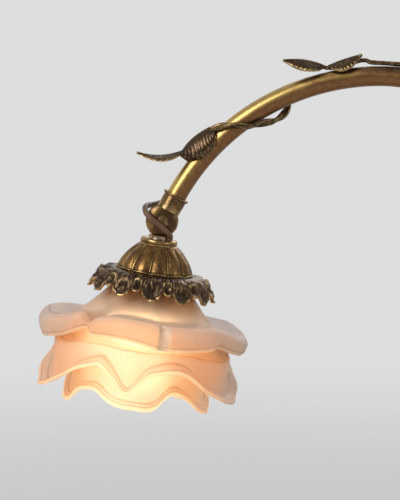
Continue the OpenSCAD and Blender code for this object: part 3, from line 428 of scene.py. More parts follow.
def old_metal(name, clean, other, tarnish_and_shade_colour, grime_and_shade_colour, bright, smooth, dull, share, under=0.3, hollows=0.9,
              reach=0.004, edge=0.08, edge_breakup=0.04, grain=0.25, grain_size=400.0, patch=110.0,
              patina_and_shade=None, lacquer=0.0):
    """Clean metal that drifts in colour, tarnishing in clouds with painted shade on faces that look down,
    grime and painted shade in hollows, bright rubbed edges

    The attribute named by the patina argument adds to the tarnishing mask; it holds staining and painted
    shade.
    """
    made, g, sockets = new_material(name, Coat_Weight=lacquer, Coat_Roughness=0.32)
    base = g.effect(colour_drift, Colour=clean, Other=other, Size=patch * 0.7)["Colour"]
    # Tarnishing clouds, painted shade on faces that look down, and the attribute's staining and painted shade
    tarnish_and_shade_mask = g.effect(clouds_and_underside_shade, Size=patch, Share=share, Under=under)["Mask"]
    if patina_and_shade:
        clouds = g.math("SUBTRACT", g.noise(140.0, 4, 0.65), 0.5)
        broken = g.math("MULTIPLY_ADD", clouds, 0.9, g.attribute(patina_and_shade))
        tarnish_and_shade_mask = g.math("MAXIMUM", tarnish_and_shade_mask, g.between(broken, 0.35, 0.8))
    rubbed = g.effect(rubbed_edges, Sharpness=edge, Breakup=edge_breakup)["Mask"]
    # Grime in hollows together with painted shade there
    grime_and_shade_mask = g.effect(hollow_grime_and_shade, Reach=reach, Share=hollows)["Mask"]
    scratched = g.effect(fine_scratches, Size=900.0, Depth=0.25)
    cast = g.effect(cast_grain, Size=grain_size, Pits=0.3)["Height"]
    colour = g.mix(tarnish_and_shade_mask, base, tarnish_and_shade_colour)
    if patina_and_shade:
        # Where the attribute is strongest the colour goes to the grime-and-shade colour: painted shade beside
        # other parts
        colour = g.mix(g.between(broken, 0.8, 1.3, 0.0, 0.8), colour, grime_and_shade_colour)
    colour = g.mix(grime_and_shade_mask, colour, grime_and_shade_colour)
    g.feed(sockets["Base Color"], g.mix(rubbed, colour, bright))
    worn = g.math("SUBTRACT", tarnish_and_shade_mask, g.math("MULTIPLY", rubbed, 0.8))
    rough = g.between(g.math("ADD", worn, g.math("MULTIPLY", grime_and_shade_mask, 0.5)), 0.0, 1.2, smooth, dull)
    g.feed(sockets["Roughness"], g.math("MULTIPLY_ADD", scratched["Mask"], 0.08, rough))
    g.feed(sockets["Metallic"], g.between(grime_and_shade_mask, 0.3, 1.3, 1.0, 0.55))
    scratches = g.math("MULTIPLY", scratched["Height"], 0.25)
    bump(g, sockets, g.math("MULTIPLY_ADD", cast, grain, scratches), 0.35)
    return made


def satin(name, colour, other, rough_low, rough_high, grain_size, grain, metallic=0.0):
    """A plain even material: two near colours, an uneven gloss and a fine grain"""
    made, g, sockets = new_material(name, Metallic=metallic)
    base = g.effect(colour_drift, Colour=colour, Other=other, Size=30.0)["Colour"]
    # Darker in hollows: grime and painted shade
    grime_and_shade_mask = g.effect(hollow_grime_and_shade, Reach=0.004, Share=0.35)["Mask"]
    g.feed(sockets["Base Color"], g.mix(grime_and_shade_mask, base, tuple(0.35 * c for c in other)))
    g.feed(sockets["Roughness"], g.wander(90.0, rough_low, rough_high))
    bump(g, sockets, g.effect(cast_grain, Size=grain_size, Pits=0.2)["Height"], grain, 0.0003)
    return made


def frosted_glass():
    """Satin-etched pressed glass with painted light: a painted glow and warmer colour where the bulb lights
    it, painted shade under the gallery, painted highlights along the hems and thin painted shade lines where
    petals fold and end

    Its mesh gives the distances from the rim and the fold in millimetres, and how well it is lit, below zero
    where shade is painted.
    """
    made, g, sockets = new_material("frosted_glass", Emission_Strength=1.0, Metallic=0.0,
                                    Transmission_Weight=0.5, IOR=1.48)
    rim, fold = g.attribute("from_rim"), g.attribute("from_fold")
    clouds = g.math("SUBTRACT", g.noise(26.0, 4, 0.6, warp=0.5), 0.5)
    lit = g.math("MULTIPLY_ADD", clouds, 0.3, g.attribute("lit"))
    # Painted light: where the bulb lights the glass its colour turns orange, then cream
    orange, cream = g.between(lit, 0.0, 0.4), g.between(lit, 0.4, 0.95)
    pale, grey = (0.82, 0.70, 0.61), (0.74, 0.67, 0.60)
    base = g.effect(colour_drift, Colour=pale, Other=grey, Size=30.0)["Colour"]
    base = g.mix(orange, base, (0.76, 0.53, 0.36))
    base = g.mix(cream, base, (0.78, 0.66, 0.54))
    # Painted shade where lit is below zero, under the gallery
    base = g.mix(g.between(lit, 0.0, -0.8), base, (0.30, 0.20, 0.14))
    streaks = g.noise(500.0, 2, 0.6, g.place((1, 1, 0.08)))
    base = g.mix(g.between(streaks, 0.5, 0.75, 0.0, 0.16), base, (0.45, 0.30, 0.20))
    # A painted highlight along each hem, and thin painted shade lines near the rim and along folds
    hem = g.between(rim, 1.9, 1.2)
    fine = g.math("MULTIPLY", g.between(rim, 3.4, 2.6), g.between(rim, 1.6, 2.3))
    crease = g.between(fold, 0.85, 0.1)
    line = g.math("MULTIPLY", g.math("MAXIMUM", fine, crease), g.wander(55.0, 0.2, 0.62))
    g.feed(sockets["Base Color"], g.mix(line, base, (0.40, 0.25, 0.17)))
    # Painted glow: the glass gives off the light that the bulb would send through it
    glow = g.mix(orange, (0.0, 0.0, 0.0), (0.18, 0.075, 0.025))
    glow = g.mix(cream, glow, (0.35, 0.27, 0.14))
    glow = g.mix(g.between(lit, 0.95, 1.3), glow, (0.42, 0.42, 0.34))
    glow = g.mix(g.math("MULTIPLY", hem, g.between(lit, 0.05, 0.6)), glow, (0.50, 0.36, 0.18))
    g.feed(sockets["Emission Color"], g.mix(g.math("MULTIPLY", line, 0.8), glow, (0.03, 0.01, 0.005)))
    g.feed(sockets["Roughness"], g.wander(120.0, 0.42, 0.55))
    bump(g, sockets, g.math("MULTIPLY_ADD", g.noise(2200.0, 2), 0.25, g.noise(90.0, 2)), 0.18, 0.0006)
    return made


def bulb_glass():
    made, g, sockets = new_material("bulb_glass", Base_Color=(1.0, 0.93, 0.80), Emission_Strength=5.0)
    g.feed(sockets["Roughness"], g.wander(80.0, 0.2, 0.3, 2))
    g.feed(sockets["Emission Color"], g.mix(g.noise(60.0, 2), (1.0, 0.74, 0.42), (1.0, 0.80, 0.50)))
    bump(g, sockets, g.noise(300.0, 2), 0.05)
    return made


def glowing_wire():
    made, g, sockets = new_material("filament_wire", Base_Color=(0.4, 0.35, 0.3), Metallic=1.0,
                                    Emission_Strength=8.0)
    g.feed(sockets["Emission Color"], g.mix(g.noise(900.0, 2), (1.0, 0.45, 0.12), (1.0, 0.65, 0.25)))
    g.feed(sockets["Roughness"], g.wander(700.0, 0.35, 0.5, 2))
    bump(g, sockets, g.noise(2500.0, 2), 0.2)
    return made


def lead_sheath():
    """A lead in an old brown sheath, rubbed lighter in clouds, with a painted sheen on its upper faces"""
    made, g, sockets = new_material("lead_sheath")
    dark, worn = (0.115, 0.052, 0.03), (0.165, 0.08, 0.046)
    base = g.effect(colour_drift, Colour=dark, Other=worn, Size=90.0)["Colour"]
    # Lighter in clouds of wear, and kept off faces that look down: a painted sheen on the upper faces
    rubbed = g.effect(clouds_and_underside_shade, Size=220.0, Share=0.42, Under=-0.5)["Mask"]
    g.feed(sockets["Base Color"], g.mix(g.math("MULTIPLY", rubbed, 0.5), base, (0.36, 0.22, 0.14)))
    g.feed(sockets["Roughness"], g.wander(300.0, 0.34, 0.55))
    bump(g, sockets, g.effect(cast_grain, Size=1500.0, Pits=0.4)["Height"], 0.35)
    return made


def felt():
    made, g, sockets = new_material("felt", Sheen_Weight=0.3)
    green, dark = (0.10, 0.13, 0.07), (0.07, 0.09, 0.05)
    base = g.effect(colour_drift, Colour=green, Other=dark, Size=35.0)["Colour"]
    fibres = g.noise(3000.0, 4, 0.7, g.place((1, 0.3, 1)))
    g.feed(sockets["Base Color"], g.mix(g.between(fibres, 0.55, 0.75, 0.0, 0.5), base, (0.20, 0.24, 0.15)))
    g.feed(sockets["Roughness"], g.between(fibres, 0.3, 0.7, 0.88, 1.0))
    bump(g, sockets, fibres, 0.6)
    return made


# Of each metal: its colours where clean, in its drifts, under tarnishing and painted underside shade, in
# grime and painted hollow shade, and rubbed bright, its roughness where smooth and dull, and the share under
# tarnishing
FINISHES = {
    "arm_brass": old_metal(
        "arm_brass", (0.64, 0.41, 0.13), (0.47, 0.33, 0.10), (0.23, 0.105, 0.038), (0.06, 0.03, 0.014),
        (0.80, 0.60, 0.27), 0.32, 0.48, 0.50, under=0.6, hollows=0.8, reach=0.008, grain=0.12, patch=34.0,
        patina_and_shade="patina_and_shade", lacquer=0.3),
    "gallery_brass": old_metal(
        "gallery_brass", (0.36, 0.215, 0.065), (0.27, 0.145, 0.048), (0.115, 0.06, 0.027),
        (0.022, 0.012, 0.008), (0.50, 0.33, 0.12), 0.24, 0.46, 0.62, under=0.1, edge=0.05, grain=0.5,
        grain_size=500.0, patch=90.0),
    "bright_brass": old_metal(
        "bright_brass", (0.44, 0.275, 0.115), (0.33, 0.20, 0.085), (0.15, 0.085, 0.04), (0.03, 0.017, 0.01),
        (0.62, 0.44, 0.22), 0.22, 0.42, 0.45, grain=0.2),
    "leaf_bronze": old_metal(
        "leaf_bronze", (0.125, 0.078, 0.043), (0.085, 0.053, 0.034), (0.045, 0.029, 0.023),
        (0.014, 0.010, 0.008), (0.62, 0.43, 0.18), 0.26, 0.50, 0.52, under=0.1, hollows=0.75, reach=0.0035,
        edge=0.11, edge_breakup=0.10, grain=0.7, grain_size=600.0),
    "knuckle_bronze": old_metal(
        "knuckle_bronze", (0.26, 0.145, 0.06), (0.20, 0.125, 0.05), (0.10, 0.055, 0.032),
        (0.02, 0.011, 0.008), (0.46, 0.30, 0.14), 0.24, 0.46, 0.52, under=0.2, edge=0.05, grain=0.5,
        grain_size=450.0, patch=120.0),
    "plated_steel": old_metal(
        "plated_steel", (0.42, 0.42, 0.39), (0.33, 0.33, 0.30), (0.17, 0.16, 0.135), (0.05, 0.045, 0.035),
        (0.55, 0.54, 0.50), 0.24, 0.46, 0.55, hollows=0.6, reach=0.006, grain=0.15, patch=100.0),
    "iron": satin("iron", (0.075, 0.075, 0.078), (0.05, 0.05, 0.052), 0.5, 0.75, 500.0, 0.8, metallic=1.0),
    "felt": felt(),
    "lead_sheath": lead_sheath(),
    "inlet_plastic": satin(
        "inlet_plastic", (0.10, 0.05, 0.032), (0.075, 0.038, 0.026), 0.35, 0.5, 900.0, 0.3),
    "fibre": satin("fibre", (0.10, 0.055, 0.035), (0.07, 0.04, 0.028), 0.7, 0.85, 1200.0, 0.6),
    "porcelain": satin("porcelain", (0.80, 0.78, 0.72), (0.74, 0.71, 0.64), 0.12, 0.25, 200.0, 0.1),
    "frosted_glass": frosted_glass(),
    "bulb_glass": bulb_glass(),
    "filament_wire": glowing_wire(),
}

# ---- Fluted domes ----
FLUTES = 12
AROUND_FLUTE = 28
FLUTE_TURN = math.radians(-7.5)
DOME_BULGE = 1.9
DOME_ROWS, INNER_ROWS = 40, 12


def flute_relief(share):
    """Depth over one flute: a fine rib between two grooves, and then a long swell to the next"""
    d = np.minimum(share, 1 - share)
    rib = 0.7 * bell(d, 0.024)
    groove = -1.35 * bell(d - 0.055, 0.02)
    swell = 1.25 * np.sin(np.pi * np.clip((d - 0.07) / 0.86, 0, 1))
    return rib + groove + swell - 0.6


def fluted_dome(hole_r, crown_r, foot_r, height, wall, deep):
    """Rings of a dome with its crown's upper face at 0; its outline is a cone with a slight swell"""
    slant = math.hypot(foot_r - crown_r, height)
    out_r, out_z = height / slant, (foot_r - crown_r) / slant
    f = np.linspace(0, 1, DOME_ROWS)
    g = np.linspace(1, 0, INNER_ROWS)
    rings = []
    for k in range(FLUTES * AROUND_FLUTE):
        share = (k / AROUND_FLUTE) % 1
        a = 2 * np.pi * k / (FLUTES * AROUND_FLUTE) + FLUTE_TURN
        grown = soft_step(f, 0.02, 0.22) * (1 - 0.8 * soft_step(f, 0.955, 1.0))
        foot_bead = 0.7 * bell((f - 0.985) * slant, 0.8) - 0.45 * bell((f - 0.935) * slant, 0.6)
        lift = deep * flute_relief(share) * grown * (0.55 + 0.45 * f) + foot_bead
        r = crown_r + (foot_r - crown_r) * f + DOME_BULGE * np.sin(np.pi * f) + lift * out_r
        z = height * f - lift * out_z
        r[0], z[0] = crown_r, 0
        inner_r = crown_r + (foot_r - wall - crown_r) * g + DOME_BULGE * np.sin(np.pi * g)
        inner_z = wall + (height - wall) * g
        rings.append(turned(np.concatenate([[hole_r], r, inner_r, [hole_r]]),
                            np.concatenate([[0], z, inner_z, [wall]]), a))
    return closed(rings)


# ---- Leaf rims: a large and a small cupped leaf in each module ----
AROUND_LEAF, LEAF_ROWS, BACK_ROWS = 40, 34, 12
# Half the width of a leaf as a share of its module, and how far leaves reach, as shares of the rim
LARGE_HALF, SMALL_HALF = 0.325, 0.175
NOTCH_REACH, SMALL_REACH = 0.66, 0.86


def leaf_rim(in_r, out_r, drop, wall, bold):
    """Rings of a rim that runs flat out from a dome's foot and turns down to its tips"""
    around = FLUTES * AROUND_LEAF

    def plain(f):
        """The rim without its relief: flat out from the dome's foot, then down"""
        bent = np.minimum(1, 1.12 * f)
        return in_r + (out_r - in_r) * np.sin(np.pi / 2 * bent), drop * f ** 2.4

    rings = []
    for k in range(around):
        u = (k / AROUND_LEAF) % 1
        module = k // AROUND_LEAF
        a = 2 * np.pi * k / around
        from_large = min(u, 1 - u)
        from_small = abs(u - 0.5)
        lu, su = from_large / LARGE_HALF, from_small / SMALL_HALF
        lobed = 1 - 0.11 * bell(lu - 0.56, 0.09)
        large = (1 - NOTCH_REACH) * math.sqrt(max(0.0, 1 - lu ** 3.0)) * lobed
        small = (SMALL_REACH - NOTCH_REACH) * math.sqrt(max(0.0, 1 - su ** 2.4))
        reach = NOTCH_REACH + (large if lu < 1 else small)
        f = np.linspace(0, 1, LEAF_ROWS) * reach
        r, z = plain(f)
        dr = np.gradient(r, edge_order=2)
        dz = np.gradient(z, edge_order=2)
        length = np.hypot(dr, dz) + 1e-9
        normal_r, normal_z = dz / length, dr / length
        to_tip = (reach - f) * (out_r - in_r + drop)
        to_side = abs(LARGE_HALF - from_large) if lu < 1 else abs(SMALL_HALF - from_small)
        to_side *= 2 * np.pi * out_r / FLUTES
        edge = np.minimum(to_tip, to_side + 0.35)
        beaded = 0.95 * bell(edge - 0.9, 0.95) * soft_step(f, 0.3, 0.55)
        if lu < 1:
            cup = -2.6 * bell(lu, 0.52) * bell(f - 0.77, 0.14)
            cup += 0.8 * bell(lu, 0.10) * bell(f - 0.70, 0.16)
            cup -= 0.9 * bell(lu - 0.80, 0.14) * bell(f - 0.70, 0.12)
            curl = (1.9 * bell(lu, 0.48) + 1.1 * bell(lu - 0.80, 0.2)) * bell(f - reach, 0.08)
            upper = 1.5 * bell(lu - 0.05, 0.36) * bell(f - 0.44, 0.085)
            upper -= 1.0 * bell(lu, 0.14) * bell(f - 0.44, 0.06)
        else:
            cup = -1.9 * bell(su, 0.6) * bell(f - 0.66, 0.11)
            curl = 1.3 * bell(su, 0.8) * bell(f - 0.84, 0.06)
            upper = 1.9 * bell(su, 0.75) * bell(f - 0.50, 0.07) - 1.1 * bell(f - 0.40, 0.05)
        valley = -1.3 * bell((from_large - LARGE_HALF) * 23, 1.1) * soft_step(f, 0.1, 0.4)
        rays = 0.15 * math.cos(2 * math.pi * u * 9 + module)
        rays *= soft_step(f, 0.12, 0.3) * (1 - soft_step(f, 0.5, 0.7))
        uneven = 0.35 * math.sin(2.1 * module + 1.3)
        lift = bold * (beaded + cup + curl * (1 + uneven) + upper + valley + rays)
        g = np.linspace(reach, 0, BACK_ROWS)
        back_r, back_z = plain(g)
        thick = wall * (1 - 0.25 * soft_step(g, 0.5, 1.0))
        back_lift = 0.9 * bold * np.interp(g, f, lift - 0.6 * beaded / bold) - thick
        back_r = back_r + back_lift * np.interp(g, f, normal_r)
        back_z = back_z - back_lift * np.interp(g, f, normal_z)
        rings.append(turned(np.concatenate([r + lift * normal_r, back_r]),
                            np.concatenate([z - lift * normal_z, back_z]), a))
    return closed(rings)


# ---- Places down the shade's axis, as distances below the pivot ----
DOME_S, DOME_H, DOME_D, DOME_WALL = 16.8, 19.0, 54.6, 1.8
DOME_FOOT_S = DOME_S + DOME_H
RIM_D, RIM_DROP, LEAF_T = 88.0, 16.5, 1.6
CROWN_R, SPIGOT_WAY, SEAT, NECK_S = 13.4, 12.6, 0.1, 43.9
# Room left inside the dome's and the rim's outlines for their relief, and how far the rim goes in under
# the dome
DOME_ROOM, RIM_ROOM, RIM_UNDER = 0.6, 1.4, 2.0
DOME_RELIEF, RIM_RELIEF = 0.95, 1.0


def lowered(made, depth):
    rings, faces = made
    return head(rings + np.array([0, 0, -depth])), faces


def gallery():
    dome = fluted_dome(SPIGOT_WAY + SEAT, CROWN_R, DOME_D / 2 - DOME_ROOM, DOME_H, DOME_WALL, DOME_RELIEF)
    piece("fluted_dome", [lowered(dome, DOME_S)], "head", "gallery_brass", ["gallery_dome"])
    rim = leaf_rim(DOME_D / 2 - RIM_UNDER, RIM_D / 2 - RIM_ROOM, RIM_DROP, LEAF_T, RIM_RELIEF)
    piece("leaf_rim", [lowered(rim, DOME_FOOT_S + SEAT)], "head", "leaf_bronze", ["gallery_leaf_rim"])


# ---- The foot's castings follow the gallery's ----
FOOT_R, PLINTH_TOP, FOOT_LEAF_DROP, FOOT_WALL = 88.0, 13.0, 16.0, 3.0
FOOT_DOME_D, FOOT_DOME_H, SPIGOT_R, STEM_COLLAR_D, STEM_COLLAR_H = 100.0, 24.0, 16.0, 40.0, 12.0
FOOT_LEAF_Z = PLINTH_TOP + SEAT + FOOT_LEAF_DROP
FOOT_CROWN_Z = FOOT_LEAF_Z + SEAT + FOOT_DOME_H
FOOT_DOME_ROOM, FOOT_RIM_ROOM, FOOT_RIM_UNDER = 0.8, 7.4, 5.0
FOOT_DOME_RELIEF, FOOT_RIM_RELIEF = 1.3, 0.9


def raised(made, height):
    rings, faces = made
    return rings + np.array([0, 0, height]), faces


def foot():
    dome = fluted_dome(SPIGOT_R + 2 * SEAT, STEM_COLLAR_D / 2 + 1, FOOT_DOME_D / 2 - FOOT_DOME_ROOM,
                       FOOT_DOME_H, FOOT_WALL, FOOT_DOME_RELIEF)
    piece("foot_dome", [raised(dome, FOOT_CROWN_Z)], "stand", "gallery_brass", ["base_dome"])
    rim = leaf_rim(FOOT_DOME_D / 2 - FOOT_RIM_UNDER, FOOT_R - FOOT_RIM_ROOM, FOOT_LEAF_DROP - FOOT_WALL / 2,
                   FOOT_WALL - 0.6, FOOT_RIM_RELIEF)
    piece("foot_leaves", [raised(rim, FOOT_LEAF_Z)], "stand", "leaf_bronze", ["base_leaf_ring"])


# ---- The arm's tube ----
TUBE_BORE_R, STEM_FOOT, TUBE_END = 5.5, 11.5, 13.6
TUBE_SIDES, TUBE_STEP = 40, 2.5


def arm_line():
    """Places along the arm, and the middle line there from the foot to the knuckle's sleeve"""
    last = on_arch(ARCH_TURN)
    ways = np.linspace(STEM_FOOT, last, int((last - STEM_FOOT) / TUBE_STEP))
    down = np.linspace(0, DROP_LEN - TUBE_END, 5)[1:]
    line = [middle(t) for t in ways]
    line = np.array(line + [line[-1] - way * out_of_bend(ARCH_TURN) for way in down])
    return np.concatenate([ways, last + down]), np.stack([line[:, 0], 0 * line[:, 0], line[:, 1]], -1)


def arm():
    """The tube, with a point attribute of staining and painted shade: on its underside and where the leaves,
    the sleeve and the foot meet it
    """
    ways, line = arm_line()
    outer, inner = (round_rings(line, np.full(len(line), r), np.array([0, 1, 0]), TUBE_SIDES)
                    for r in (TUBE_R, TUBE_BORE_R))
    rings = np.concatenate([outer, inner[::-1]])
    t = np.concatenate([ways, ways[::-1]])[:, None]
    centre = np.concatenate([line, line[::-1]])[:, None]
    top = soft_step((rings - centre)[..., 2] / TUBE_R, -0.1, 0.7)
    under = soft_step((centre - rings)[..., 2] / TUBE_R, 0.2, 0.9)
    # Staining and painted shade: on the top under the crown's leaves, at the saddle leaf and the sleeve, near
    # the foot, and on the underside
    by_leaves = 1.3 * top * bell(t - on_arch(-4), 36)
    by_saddle = 0.75 * bell(t - on_arch(48), 14)
    by_sleeve = (0.35 + 0.4 * under) * soft_step(t, on_arch(58), on_arch(63))
    by_foot = 0.8 * soft_step(t, 84, 60)
    patina_and_shade = by_leaves + by_saddle + by_sleeve + by_foot + 0.35 * under
    piece("swan_neck", [closed(rings)], "stand", "arm_brass", ["arm_tube"], {"patina_and_shade": patina_and_shade})


# ---- The vine and its leaves ----
VINE_R, VINE_SIDES = 1.8, 16
STRAND_R, TWIST_PITCH = 1.22 * VINE_R, 34.0
VINE_OUT = TUBE_R + VINE_R + 0.25
VINE_FOOT = FOOT_CROWN_Z + STEM_COLLAR_H + 2
VINE_JOIN = RUN_TOP - 16
VINE_PITCH, VINE_POINTS = 95.0, 87
STEM_LEAF_LEN, STEM_LEAF_W = 44.0, 21.0
STEM_LEAF_PLACES = [96, 152, 214, 286, 356]
LEAF_STEPS, LEAF_ACROSS = 64, 15
# Nearly the Y axis, so that a path that runs along it still has a side
SIDEWAYS = np.array([0, 1, 0.02])


def leaf(root, mid, tip, up, width, fold, stalk_r, teeth=9, curl=0.0, stalk_share=0.16):
    """A pointed oval leaf with a toothed edge, raised veins and a stalk, along an arc from root to tip"""
    root, mid, tip, up = (np.asarray(v, float) for v in (root, mid, tip, up))
    f = np.linspace(0, 1, LEAF_STEPS + 1)[:, None]
    path = (1 - f) ** 2 * root + 2 * f * (1 - f) * mid + f ** 2 * tip
    x = np.linspace(-1, 1, LEAF_ACROSS)
    far = np.abs(x)
    rings = []
    for i, (p, t) in enumerate(zip(path, directions(path))):
        side = unit(np.cross(t, up))
        top = np.cross(side, t)
        blade = max(0.0, (i / LEAF_STEPS - stalk_share) / (1 - stalk_share))
        oval = math.sin(math.pi * blade ** 0.78) ** 0.8 if 0 < blade < 1 else 0.0
        tooth = 0.09 * (0.5 - (blade * teeth) % 1)
        flat = float(soft_step(blade, 0.0, 0.12))
        half = max(stalk_r * (1 - 0.55 * blade), width / 2 * oval * (1 + tooth))
        thick = (2 * stalk_r * (1 - flat) + LEAF_T * flat) * (1 - 0.45 * blade)
        rib = 0.75 * bell(x * half, 0.9) * flat
        vein = 0.16 * np.cos(2 * np.pi * (blade * teeth - 1.3 * far))
        vein *= flat * soft_step(far, 0.08, 0.3) * (1 - soft_step(far, 0.8, 1.0))
        droop = -fold * half * x * x * flat + curl * math.sin(2 * math.pi * blade) * far ** 3
        round_off = thick / 2 * np.sqrt(np.maximum(0.0, 1 - far ** (2 + 4 * flat)))
        across = p + np.outer(side, half * x).T
        over = across + np.outer(top, round_off + rib + vein + droop).T
        under = across + np.outer(top, 0.4 * vein + droop - round_off).T
        rings.append(np.concatenate([over, under[::-1][1:-1]]))
    return ended(rings)


def vine(points, steps, radii, strand=None):
    """A vine through points; strand 0 or 1 makes it one of two that are twisted together"""
    path = smooth_path(points, steps)
    r = radii(np.linspace(0, 1, len(path)))
    if strand is not None:
        way = np.concatenate([[0], np.cumsum(np.linalg.norm(np.diff(path, axis=0), axis=1))])
        ahead = directions(path)
        side = np.cross(ahead, SIDEWAYS)
        side /= np.linalg.norm(side, axis=1, keepdims=True)
        turn = (way / TWIST_PITCH * 2 * np.pi + strand * np.pi)[:, None]
        path = path + 0.5 * r[:, None] * (np.cos(turn) * side + np.sin(turn) * np.cross(side, ahead))
        r = 0.72 * r
    k = np.arange(len(path))
    swells = 1 + 0.05 * np.sin(0.23 * k) * np.sin(0.061 * k)
    return ended(round_rings(path, r * swells, SIDEWAYS, VINE_SIDES, 0.05))


def stem_turn(t):
    return (VINE_JOIN - t) / VINE_PITCH * 360


def stem_vine():
    route = [beside(t, stem_turn(t), VINE_OUT) for t in np.linspace(VINE_FOOT, VINE_JOIN, VINE_POINTS)]
    stem = vine(route, 3, lambda f: VINE_R * np.minimum(1, 0.5 + 7 * f))
    piece("stem_vine", [stem], "stand", "leaf_bronze", ["vine_stem"])
    leaves = []
    for t in STEM_LEAF_PLACES:
        turn = stem_turn(t)
        outward = unit(beside(t, turn, 2) - beside(t, turn, 1))
        along = unit(beside(t + 1, turn, VINE_OUT) - beside(t, turn, VINE_OUT))
        base = beside(t, turn, VINE_OUT + VINE_R + SEAT)
        mid = base + (0.35 * outward + 0.2 * along) * STEM_LEAF_LEN
        tip = base + (0.5 * outward + 0.8 * along) * STEM_LEAF_LEN
        leaves.append(leaf(base, mid, tip, -along + 1.2 * outward, STEM_LEAF_W, 0.25, 1.3, teeth=8))
    piece("leaves_on_stem", leaves, "stand", "leaf_bronze", ["stem_leaves"])


# Runs of the vine: the distance along the arm or the angle past its top, the turn round it, and what is
# added to the distance from its middle
CROWN_RUN = [[VINE_JOIN + 0.4, 0, 0], [RUN_TOP - 8, 6, 0], [RUN_TOP, 3, 0.1], [RUN_TOP + 6, 0, 0.6],
             [RUN_TOP + 12, -4, 2.4]]
END_RUN = [[22.8, 275, 0], [23.4, 246, 0.4], [24.6, 216, 1.4], [26.6, 193, 2.6], [29.2, 173, 2.6],
           [32.2, 153, 1.0], [35.5, 124, 0], [38, 84, 0], [40.5, 48, 0.1], [43, 22, 0.6]]
BRIDGE_RUN = [[42.0, 33, 0.3], [43.4, 21, 0.5], [45.0, 15, 0.3], [47.5, 14, 0.1], [50.0, 13, 0.3]]
# Root, middle and tip of the loose leaves
CROWN_LEAF = np.array([[-89, 0, 437.4], [-104, -1, 444.2], [-119.7, -2, 442.6]])
CROWN_BACK = np.array([[-90, 0, 437.2], [-78, 1, 442.9], [-64.6, -3, 446.6]])
END_LEAF = np.array([[-184.8, 1, 381.2], [-202, 0, 372.0], [-221.6, -1, 378.6]])
CROWN_LEAF_W, END_LEAF_W, STALK_R = 20.0, 17.0, 1.4


def crown_vine():
    route = [beside(t, turn, VINE_OUT + out) for t, turn, out in CROWN_RUN]
    route += [CROWN_LEAF[0] + [6, 1.6, 0.4], CROWN_LEAF[0] + [0, 1.2, 0.3]]
    parts = [vine(route, 12, lambda f: VINE_R * (1 - 0.25 * f)),
             leaf(*CROWN_LEAF, [0, -0.35, 1], CROWN_LEAF_W, 0.35, STALK_R, curl=0.7, stalk_share=0.05),
             leaf(*CROWN_BACK, [-0.3, -0.3, 1], CROWN_LEAF_W, 0.4, STALK_R, curl=0.6, stalk_share=0.08)]
    piece("crown_sprig", parts, "stand", "leaf_bronze", ["vine_crown"])


# The saddle leaf: where it starts and ends on the arch, its turn round the tube, and half its spread round it
DRAPE_FROM, DRAPE_TO, DRAPE_TURN, DRAPE_HALF = 43.0, 52.6, 12.0, 86.0
DRAPE_STEPS, DRAPE_ACROSS, DRAPE_TEETH, DRAPE_VEINS = 64, 41, 8, 10


def saddle_leaf():
    """Lies over the tube like a saddle: its middle rib runs along the top and its veins slant down"""
    rings = []
    for i in range(DRAPE_STEPS + 1):
        f = i / DRAPE_STEPS
        t = on_arch(DRAPE_FROM + (DRAPE_TO - DRAPE_FROM) * f)
        tooth = 0.05 * (0.5 - (f * DRAPE_TEETH) % 1)
        wide = math.sin(math.pi * (0.05 + 0.95 * f) ** 0.8) ** 0.62 if f < 1 else 0.0
        half = max(8.0, DRAPE_HALF * wide * (1 + tooth))
        front = half * (1.06 - 0.1 * math.cos(math.pi * f))
        lift = 2.2 + 3.4 * math.sin(0.75 * math.pi * f)
        over, under = [], []
        for v in np.linspace(-1, 1, DRAPE_ACROSS):
            far = abs(v)
            down = v * (front if v < 0 else half)
            vein = 0.19 * math.cos(2 * math.pi * (f * DRAPE_VEINS - 3.0 * far + 0.2))
            vein *= soft_step(far, 0.10, 0.22) * (1 - soft_step(far, 0.90, 1.0))
            rib = 0.9 * bell(down, 7.0)
            rim = 0.45 * bell(far - 0.95, 0.05)
            bowl = 0.5 * math.sin(math.pi * min(1.0, far / 0.9)) ** 2
            rounded = math.sqrt(max(0.0, 1 - far ** 10))
            level = TUBE_R + 0.35 + lift * (1 - v * v) * (1 - 0.35 * bowl)
            upper = level + LEAF_T * (0.25 + 0.75 * rounded) + vein + rib + rim
            over.append(beside(t, DRAPE_TURN - down, upper))
            under.append(beside(t, DRAPE_TURN - down, level + LEAF_T * 0.25 * (1 - rounded)))
        rings.append(np.concatenate([over, under[::-1]]))
    return ended(rings)


def arch_vine(run, steps, radii, strand=None):
    """A vine along a run whose places are angles past the arch's top"""
    route = [beside(on_arch(a), turn, VINE_OUT + out) for a, turn, out in run]
    return vine(route, steps, radii, strand)


def end_vine():
    """The twisted vine at the arch's end, which runs on over the saddle leaf as its middle rib"""
    def swelling(f):
        return STRAND_R * np.minimum(1, 0.6 + 5 * f)

    strands = [arch_vine(END_RUN, 12, swelling, k) for k in (0, 1)]
    piece("end_sprig", strands, "stand", "leaf_bronze", ["vine_end"])
    bridge = arch_vine(BRIDGE_RUN, 10, lambda f: VINE_R * (1 - 0.45 * f) * np.minimum(1, 0.5 + 5 * f))
    parts = [saddle_leaf(), bridge, leaf(*END_LEAF, [0, -0.1, 1], END_LEAF_W, 0.25, STALK_R)]
    piece("saddle_leaf", parts, "stand", "leaf_bronze", ["draped_leaf"])


# ---- The bare lead round the knuckle ----
LEAD_R, LEAD_STEPS, LEAD_SIDES = 2.0, 8, 20
# Where it enters the collar: from the axis, round it, and below the pivot; it stands straight there
LEAD_WAY, LEAD_TURN, COLLAR_S = 9.8, math.radians(-42), 12.6
LEAD_STRAIGHT, LEAD_GAP = 1.7, 0.2
